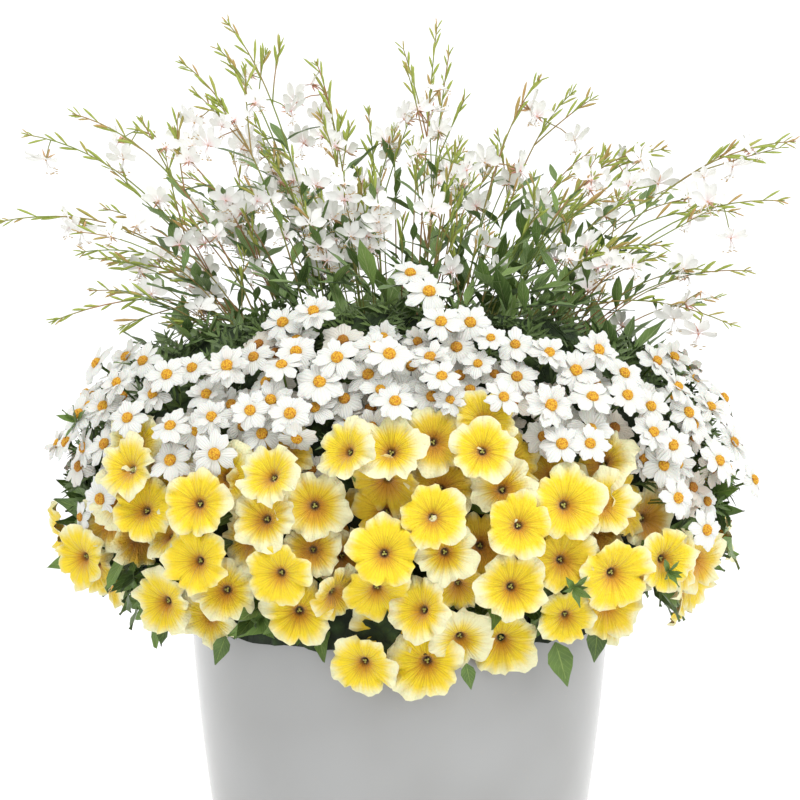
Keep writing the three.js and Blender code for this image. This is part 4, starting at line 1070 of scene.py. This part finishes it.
def innerGrowth(kind, section, seed):
    verts, faces = [], []
    draw = random.Random(seed)
    steps, width, bumps = growthSet["steps"], len(section(0.0)), growthSet["bumps"]
    for angle in angles(steps):
        for r, z, rough in section(angle):
            r += rough * draw.uniform(-bumps, bumps)
            z += rough * draw.uniform(-bumps, bumps) * 0.5
            verts.append(polar(angle, r, z) * mm)
    for k in range(steps):
        a, b = k * width, (k + 1) % steps * width
        for i in range(width):
            n = (i + 1) % width
            faces.append((a + i, b + i, b + n, a + n))
    finish = Finish(kind + "Growth", 0.85)
    noise = finish.noise(90.0, 4.0)
    cells = finish.cells(finish.wires("ShaderNodeTexCoord", ["Object"])[0], 70.0)
    # painted shade: lighter on the lumps, darker in the hollows between them
    share = noise.maths("MULTIPLY", cells.smooth(0.7, 0.1), True)
    material = finish.done(finish.blend(share, *growthSet[kind]), noise - cells, 0.006)
    return meshPiece(kind + "Growth", verts, faces, material)


def growthWall(angle, low, top):
    wall = []
    for i in range(9):
        z = mix(low, top, i / 8)
        skirt = growthSet["skirt"] if z < mound["skirtTop"] else 0
        wall.append((max(bodyRadius(angle, z) - growthSet["inset"], skirt), z, 1))
    return wall


def lowSection(angle):
    top, foot, floor = splitHeight(angle), growthSet["low"], growthSet["floor"]
    (high, low), rim = growthSet["inner"], mound["skirtInner"] + 1
    wall = growthWall(angle, foot, top)
    return [(rim, foot, 0)] + wall + [(high, top - 4, 1), (low, floor, 0), (rim, floor, 0)]


def highSection(angle):
    low, top, floor = splitHeight(angle), bodyTop(angle) - growthSet["lower"], growthSet["floor"]
    heights = [mix(top, floor, i / 6) for i in range(1, 7)]
    inner = [(clearingRadius(angle, z) + 2, z, 1) for z in heights]
    near, far = growthSet["under"]
    return growthWall(angle, low, top) + inner + [(near, floor, 0), (far, low - 2, 0)]


finishPiece(innerGrowth("petunia", lowSection, 5), petuniaNodes)
finishPiece(innerGrowth("bidens", highSection, 6), bidensNodes)
print("stage: inner growth")

# Gaura: stems with side shoots, buds, flowers and leaves
gauraSet = {
    "seed": 88, "base": (0.23, 0.22), "soil": 365, "depth": 44, "steps": 26, "radius": (1.15, 0.55),
    "shoots": 3, "fillers": 64, "buds": 7, "tuft": 5, "company": 0.75, "leaves": 13, "fan": 330, "tip": 0.97,
    "white": (236, 236, 232), "blush": (236, 150, 162), "stem": (126, 142, 62), "stemRed": (170, 118, 84),
    "bud": (166, 176, 76), "budRed": (204, 146, 100), "budGreen": (128, 152, 60), "anther": (206, 178, 110),
    "antherDark": (170, 130, 76), "sepal": (226, 128, 140), "sepalPale": (214, 190, 140),
    "sides": 5, "petals": (-1.25, -0.42, 0.42, 1.25), "petal": (0.12, 0.24, 0.68, 1.0, 0.94, 0.4),
    "stamens": 8, "budLengths": (19, 15, 23),
    "budPath": ((0, 0, 0.45), (0.2, 0.1, 0.8), (0.55, 0.4, 1.4), (0.85, 0.3, 1.05), (1, 0, 0.2)),
}
gauraDraw = random.Random(gauraSet["seed"])
between = gauraDraw.uniform
stemPaths, gauraFlowers, gauraBuds, gauraLeaves = [], [], [], []


def curved(start, middle, end, steps):
    shares = [i / steps for i in range(steps + 1)]
    return [start * (1 - t) ** 2 + middle * 2 * t * (1 - t) + end * t * t for t in shares]


def gauraPath(x, y, z, bow):
    centre, soil = mound["clearY"], gauraSet["soil"]
    base = Vector((x * gauraSet["base"][0], centre + (y - centre) * gauraSet["base"][1], soil + 6))
    spread = 0.5 - 0.28 * bow
    knee = Vector((mix(base.x, x, spread), mix(base.y, y, spread), soil + (z - soil) * (0.55 + 0.5 * bow)))
    return curved(base, knee, Vector((x, y, z)), gauraSet["steps"])


def alongPath(path, share):
    i = min(len(path) - 2, int(share * (len(path) - 1)))
    part = share * (len(path) - 1) - i
    return path[i].lerp(path[i + 1], part), (path[i + 1] - path[i]).normalized()


def gauraSpot(at, out, scale):
    return leafSpot(at, out, upward, scale, gauraDraw.randrange(3), gauraDraw.random())


def addStub(start, tip, lift, radii):
    stemPaths.append(([start, start.lerp(tip, 0.5) + upward * lift, tip], radii))


def addBuds(path, start, count, tuft):
    tip = gauraSet["tip"]
    for k in range(count + tuft):
        share = start + (tip - start) * (k + 0.3) / count if k < count else between(tip, 0.995)
        at, ahead = alongPath(path, share)
        side = ahead.cross(polar(k * 2.4 + between(-0.4, 0.4), 1, 0.3)).normalized()
        out = ahead * between(0.9, 1.5) + side * between(0.3, 0.7)
        scale = (mix(1.1, 0.7, k / count) if k < count else 0.5) * between(0.85, 1.15)
        gauraBuds.append(gauraSpot(at, out, scale))


def addLeaves(path, count, shares, outs, wide, sizes, fade=(1, 1)):
    for k in range(count):
        share = between(*shares)
        at, ahead = alongPath(path, share)
        lean = between(0, math.tau)
        out = ahead * between(*outs) + polar(lean) * wide
        gauraLeaves.append(gauraSpot(at, out, between(*sizes) * mix(*fade, share)))


def addFlower(at, facing, scale):
    w = facing.normalized()
    up = upward - w * w.z
    v = up.normalized() if up.length > 0.1 else Vector((0, 1, 0))
    gauraFlowers.append({"at": at, "matrix": Matrix((v.cross(w), v, w)).transposed(), "scale": scale,
                         "form": gauraDraw.randrange(4), "tone": gauraDraw.random()})


for x, y, z, bow, *blooms in gauraSprays:
    main = gauraPath(x, y, z, bow)
    root = main[0].copy()
    root.z = gauraSet["soil"] - gauraSet["depth"]
    stemPaths.append(([root] + main, gauraSet["radius"]))
    addBuds(main, 0.78, gauraSet["buds"], gauraSet["tuft"])
    for bx, bz in blooms:
        near = min((alongPath(main, 0.2 + k / 100)[0] for k in range(80)),
                   key=lambda p: math.hypot(p.x - bx, p.z - bz))
        reach = Vector((bx, near.y + between(-10, 10), bz)) - near
        reach = reach.normalized() * min(30, max(12, reach.length))
        addStub(near, near + reach, 2, (0.6, 0.5))
        addFlower(near + reach, reach.normalized() + Vector((0, -0.7, 0.1)), between(1.0, 1.2))
        if gauraDraw.random() < gauraSet["company"]:
            aside = Vector((gauraDraw.choice((-1, 1)) * between(0.5, 1), between(-0.8, 0.4),
                            between(-0.7, 0.7))).normalized()
            tip = near + aside * between(14, 24)
            addStub(near, tip, 1.5, (0.6, 0.5))
            addFlower(tip, aside + Vector((0, -0.6, 0.1)), between(0.85, 1.1))
    for k in range(gauraSet["shoots"]):
        at, ahead = alongPath(main, between(0.35, 0.78))
        lean = between(0, math.tau)
        side = Vector((math.cos(lean), 0.6 * math.sin(lean), between(0.1, 0.6)))
        length = between(45, 110)
        end = at + (ahead * 1.1 + side * 0.55).normalized() * length
        end.z = min(end.z, z - 6)
        shoot = curved(at, at.lerp(end, 0.5) + ahead * 6, end, 8)
        stemPaths.append((shoot, (0.75, 0.45)))
        addBuds(shoot, 0.5, 4, 3)
        if gauraDraw.random() < 0.6:
            spot, forward = alongPath(shoot, between(0.35, 0.6))
            out = forward.cross(Vector((0.2, 1, 0))).normalized() * gauraDraw.choice((-1, 1))
            out += Vector((0, -0.5, 0.2))
            tip = spot + out.normalized() * 10
            addStub(spot, tip, 0, (0.5, 0.45))
            addFlower(tip, out + Vector((0, -0.5, 0)), between(0.8, 1.05))
    addLeaves(main, gauraSet["leaves"], (0.12, 0.66), (0.3, 1.0), 1, (0.6, 1.1), (1.2, 0.7))

# Thin young stems that fill the fan between the sprays
fan = gauraSet["fan"]
for k in range(gauraSet["fillers"]):
    x = mix(-fan, fan, (k * golden + 0.13) % 1)
    y = between(-55, 120)
    z = between(610, 710) + 70 * (1 - (x / fan) ** 2)
    main = gauraPath(x * between(0.85, 1), y, z, 0.35 + abs(x) / fan * between(0.3, 0.7))
    stemPaths.append((main, (1.0, 0.5)))
    addBuds(main, 0.86, 3, 3)
    addLeaves(main, 7, (0.4, 0.9), (0.5, 1.1), 0.7, (0.4, 0.75))
    for j in range(3 if -230 < x < -20 else gauraDraw.randint(0, 1)):
        at, ahead = alongPath(main, between(0.7, 0.97))
        aside = Vector((between(-1, 1), -0.8, between(-0.3, 0.5)))
        addFlower(at + aside * 5, aside, between(0.85, 1.05))


# Leaves at the foot of the sprays, and over the top of the growth round them
def footLeaf():
    angle = between(0, math.tau)
    z = between(480, 640)
    r = clearingRadius(angle, z) * math.sqrt(between(0.03, 1.1))
    out = polar(between(0, math.tau), 1, between(0.2, 1.6))
    return gauraSpot(polar(angle, r, z), out, between(0.7, 1.25))


def crownLeaf():
    angle = between(0, math.tau)
    top = bodyTop(angle)
    z = top - abs(gauraDraw.gauss(0, 30))
    r = mix(clearingRadius(angle, z), bodyRadius(angle, z), between(0.1, 1.0))
    out = polar(angle + between(-1.6, 1.6), 1, between(0.1, 1.3))
    return gauraSpot(polar(angle, r, min(top, z + 20)), out, between(0.7, 1.2))


for count, pick in ((leafSet["gaura"]["foot"], footLeaf), (leafSet["gaura"]["crown"], crownLeaf)):
    gauraLeaves += sowLeaves(count, leafSet["gaura"]["length"], pick)


def stemPiece(name, paths, sides, material):
    curves = bpy.data.curves.new(name + "Paths", "CURVE")
    curves.dimensions = "3D"
    for path, (thick, thin) in paths:
        spline = curves.splines.new("POLY")
        spline.points.add(len(path) - 1)
        for i, place in enumerate(path):
            spline.points[i].co = (*(place * mm), 1.0)
            spline.points[i].radius = mix(thick, thin, i / (len(path) - 1)) * mm
    tree, given = newGroup("stemsAlongPaths", "GeometryNodeTree", {
        "Paths": "Geometry", "Sides": "Int", "Material": "Material"}, {"Geometry": "Geometry"})
    ring = addNode(tree, "GeometryNodeCurvePrimitiveCircle", {"Resolution": given["Sides"], "Radius": 1.0})
    tube = addNode(tree, "GeometryNodeCurveToMesh", {
        "Curve": given["Paths"], "Profile Curve": ring.outputs[0], "Fill Caps": True})
    if "Scale" in tube.inputs:
        tree.links.new(addNode(tree, "GeometryNodeInputRadius").outputs[0], tube.inputs["Scale"])
    whole = addNode(tree, "GeometryNodeRealizeInstances", {"Geometry": tube.outputs[0]})
    last = addNode(tree, "GeometryNodeSetMaterial", {
        "Geometry": whole.outputs[0], "Material": given["Material"]})
    addNode(tree, "NodeGroupOutput", {"Geometry": last.outputs[0]})
    source = addObject(name + "Paths", curves)
    return bakedPiece(name, source, tree, {"Sides": sides, "Material": material}, len(paths))


def stemMaterial():
    stem = Finish("gauraStem", 0.5)
    red = stem.noise(14.0, 3.0).smooth(0.4, 0.66, 0.0, 0.85)
    return stem.done(stem.blend(red, gauraSet["stem"], gauraSet["stemRed"]), stem.noise(900.0), 0.0003, 0.5)


finishPiece(stemPiece("gauraStems", stemPaths, gauraSet["sides"], stemMaterial()), gauraNodes)


# Flower: four clawed petals in the upper half, hanging stamens, turned-back sepals
def gauraForm(index):
    form = Form(f"gaura{index:02d}")
    draw = random.Random(500 + index)
    size = layoutSet["gaura"]
    for lean in gauraSet["petals"]:
        lean += draw.uniform(-0.16, 0.16)
        out = Vector((math.sin(lean), math.cos(lean), 0))
        side = Vector((out.y, -out.x, 0))
        length = size * draw.uniform(1.0, 1.2)
        rise = draw.uniform(-0.1, 0.35)
        rows = []
        for i, wide in enumerate(gauraSet["petal"]):
            s = i / 5
            rows.append([out * length * (s - 0.05 * c * c * s) + side * (c * size * 0.29 * wide)
                         + upward * (size * (rise * s - 0.1 * s * s + 0.12 * c * c * s))
                         for c in (-1, -0.4, 0.4, 1)])
        form.sheet(rows, 0.4, 0)
    for k in range(gauraSet["stamens"]):
        lean = math.pi + draw.uniform(-0.6, 0.6)
        length = size * draw.uniform(0.55, 0.8)
        end = Vector((math.sin(lean) * length, math.cos(lean) * length, size * draw.uniform(0.15, 0.5)))
        form.rod([Vector((0, 0, 0)), end * 0.5 + upward * (size * 0.16), end], [0.28, 0.24, 0.2], 3, 0)
        form.rod([end - Vector((1.3, 0.3, 0)), end, end + Vector((1.3, -0.3, 0))], [0.3, 0.5, 0.3], 3, 2)
    for lean in angles(4, 0.5):
        out = polar(lean, 1, -1.3).normalized()
        form.rod([Vector((0, 0, -0.6)), out * 4.5, out * 9], [0.5, 1.0, 0.2], 3, 1)
    form.rod([upward, upward * -3, upward * -9], [0.9, 0.9, 0.6], 5, 1)
    return form


def gauraMaterials():
    colours = gauraSet
    # painted glow: the petals emit a little of their own colour, standing in for light shining through the thin
    # petals
    petal = Finish("gauraPetal", 0.6, Emission_Strength=0.08)
    near = petal.own("local", "Vector").vector("LENGTH", {}, 1).smooth(10.0, 0.0)
    patch, tone = petal.mottle(0.3)
    white = petal.blend(near * (tone * 0.3 + 0.04), colours["white"], colours["blush"])
    petal.tree.links.new(white.socket, petal.shader.inputs["Emission Color"])
    sepal = Finish("gauraSepal", 0.5)
    spots, tone = sepal.mottle(0.4)
    pink = sepal.blend(tone.smooth(0.2, 0.8), colours["budRed"], colours["sepal"])
    return (petal.done(white, patch, 0.0008, 0.6), sepal.done(sepal.blend(spots, pink, colours["sepalPale"])),
            mottled("gauraAnther", 0.7, 1.0, colours["anther"], colours["antherDark"]))


finishPiece(scatterPiece("gauraFlowers", [gauraForm(i) for i in range(4)], gauraFlowers, gauraMaterials()),
            gauraNodes)


def budForm(index):
    form = Form(f"bud{index:02d}")
    length = gauraSet["budLengths"][index]
    path, radii = zip(*((Vector((length * s, 0, bend)), wide) for s, bend, wide in gauraSet["budPath"]))
    form.rod(path, radii, 5, 0)
    return form


def budMaterial():
    bud = Finish("gauraBud", 0.5)
    patch, tone = bud.mottle(0.25)
    colour = bud.blend(tone.smooth(0.55, 1.0, 0.0, 0.9), gauraSet["bud"], gauraSet["budRed"])
    return bud.done(bud.blend(patch * 0.6, colour, gauraSet["budGreen"]), patch, 0.0005, 0.6)


finishPiece(scatterPiece("gauraBuds", [budForm(i) for i in range(3)], gauraBuds, [budMaterial()] * 3),
            gauraNodes)
lanceForms = [leafForm(*form) for form in leafSet["gaura"]["forms"]]
finishPiece(scatterPiece("gauraLeaves", lanceForms, gauraLeaves, [leafMaterial("gaura")] * 3),
            gauraNodes)
print("stage: gaura")

# Pot and soil
potSet = {
    "wall": 12, "sides": 160, "axis": 0.01, "floor": 14, "innerFrom": 20, "steps": 8,
    "foot": [(118, 0), (122, 0.4)],
    "profile": [(124, 1.5), (126, 4), (149, 65), (167, 140), (180, 235), (187, 312), (190, 372)],
    "lip": [(189.5, 384), (188, 388), (185, 390), (181.5, 389), (179, 386), (178.2, 380)],
    "innerFoot": [(118, 16), (112, 14)],
    "glaze": (161, 162, 162), "shadeAndReflectionGrey": (143, 143, 141), "clay": (168, 162, 154),
}


# Smooth curve through points, for the pot's side
def throughPoints(points, steps):
    out = []
    for i in range(len(points) - 1):
        p0, p1 = points[max(i - 1, 0)], points[i]
        p2, p3 = points[i + 1], points[min(i + 2, len(points) - 1)]
        for k in range(steps):
            t = k / steps
            out.append(tuple(0.5 * (2 * b + (c - a) * t + (2 * a - 5 * b + 4 * c - d) * t * t
                                    + (3 * b - a - 3 * c + d) * t ** 3)
                             for a, b, c, d in zip(p0, p1, p2, p3)))
    return out + [points[-1]]


def revolved(name, profile, sides, material):
    verts = [polar(angle, r, z) * mm for angle in angles(sides) for r, z in profile]
    faces = []
    width = len(profile)
    for k in range(sides):
        for i in range(width - 1):
            a, b = k * width + i, (k + 1) % sides * width + i
            faces.append((a, b, b + 1, a + 1))
    return meshPiece(name, verts, faces, material)


def glazeMaterial():
    glaze = Finish("potGlaze", 0.28, Coat_Weight=0.6, Coat_Roughness=0.06, IOR=1.5)
    # painted shade and reflection: large soft patches of darker grey over the glaze, with the clay's fine
    # flecks on top
    shadeAndReflectionPatches = glaze.noise(3.4, 3.0).smooth(0.35, 0.65, 0.0, 0.9)
    colour = glaze.blend(shadeAndReflectionPatches, potSet["glaze"], potSet["shadeAndReflectionGrey"])
    colour = glaze.blend(glaze.noise(320.0).smooth(0.66, 0.75, 0.0, 0.35), colour, potSet["clay"])
    return glaze.done(colour, glaze.noise(26.0), 0.0006, 0.35)


outside = throughPoints(potSet["profile"], potSet["steps"])
inside = [(r - potSet["wall"], z) for r, z in reversed(outside) if z > potSet["innerFrom"]]
profile = ([(potSet["axis"], 0)] + potSet["foot"] + outside + potSet["lip"] + inside + potSet["innerFoot"]
           + [(potSet["axis"], potSet["floor"])])
finishPiece(revolved("potBody", profile, potSet["sides"], glazeMaterial()), ["pot"])

soilSet = {"top": 365, "crown": 4, "radius": 176.5, "rings": 46, "sides": 110, "rough": 2.4, "seed": 12,
           "below": [(167, 235), (154, 140), (136, 65), (112, 16)],
           "dark": (44, 32, 24), "light": (86, 64, 46)}


def soilPiece():
    draw = random.Random(soilSet["seed"])
    top, crown, rings, sides, rough = (soilSet[key] for key in ("top", "crown", "rings", "sides", "rough"))
    verts = [Vector((0, 0, top + crown)) * mm]
    for i in range(1, rings + 1):
        share = i / rings
        for angle in angles(sides, 0.5 * (i % 2)):
            z = top + crown * (1 - share) + draw.uniform(-rough, rough) * (0 if i == rings else 1)
            verts.append(polar(angle, soilSet["radius"] * share, z) * mm)
    for r, z in soilSet["below"]:
        verts += [polar(angle, r, z) * mm for angle in angles(sides, 0.5 * (rings % 2))]
    faces = [(0, 1 + k, 1 + (k + 1) % sides) for k in range(sides)]
    for a in range(1, len(verts) - sides, sides):
        for k in range(sides):
            n = (k + 1) % sides
            faces.append((a + k, a + sides + k, a + sides + n, a + n))
    faces.append(tuple(range(len(verts) - 1, len(verts) - sides - 1, -1)))
    soil = Finish("soil", 0.95)
    noise = soil.noise(120.0, 5.0)
    material = soil.done(soil.blend(noise, soilSet["dark"], soilSet["light"]), noise, 0.004)
    return meshPiece("soilBed", verts, faces, material)


finishPiece(soilPiece(), ["soil"])
print("stage: pot and soil")

# Floor, light and air
stageSet = {"floor": 70.0, "under": 0.0005, "grey": (0.95, 0.95, 0.95, 1), "pale": (0.98, 0.98, 0.98, 1),
            "world": 1.0, "sun": 1.0, "softness": 26.0, "sunFrom": (0.22, -0.42, 1.0), "aim": (0, 0, 0.45)}
lights = {
    "front": ((0.3, -1.4, 2.5), (1.2, 1.0), 3.0), "right": ((1.5, -1.5, 1.3), (0.8, 1.2), 5.0),
    "edgeLeft": ((-1.5, 1.1, 0.45), (0.5, 1.5), 2.0), "edgeRight": ((1.5, 1.1, 0.45), (0.5, 1.5), 2.0),
}
pale = Finish("paleFloor", 0.8)
grain = addNode(pale.tree, "ShaderNodeMix", {0: pale.noise(3.0), 6: stageSet["grey"], 7: stageSet["pale"]},
                data_type="RGBA")
rim = [polar(angle, stageSet["floor"], -stageSet["under"]) for angle in angles(96)]
floor = meshPiece("floor", rim, [tuple(range(len(rim)))], pale.done(Wire(pale.tree, grain.outputs[2])))
world = bpy.data.worlds.new("paleAir")
scene.world = world
world.use_nodes = True
world.node_tree.nodes["Background"].inputs["Color"].default_value = (1, 1, 1, 1)
world.node_tree.nodes["Background"].inputs["Strength"].default_value = stageSet["world"]
for name, (at, size, power) in lights.items():
    data = bpy.data.lights.new(name, "AREA")
    data.shape = "RECTANGLE"
    data.size, data.size_y = size
    data.energy = power
    light = addObject(name, data)
    light.location = at
    light.rotation_euler = aimed(Vector(stageSet["aim"]) - Vector(at))
sunData = bpy.data.lights.new("overhead", "SUN")
sunData.energy = stageSet["sun"]
sunData.angle = math.radians(stageSet["softness"])
addObject("overhead", sunData).rotation_euler = aimed(-Vector(stageSet["sunFrom"]))
scene.view_settings.view_transform = "Standard"
print("stage: light")
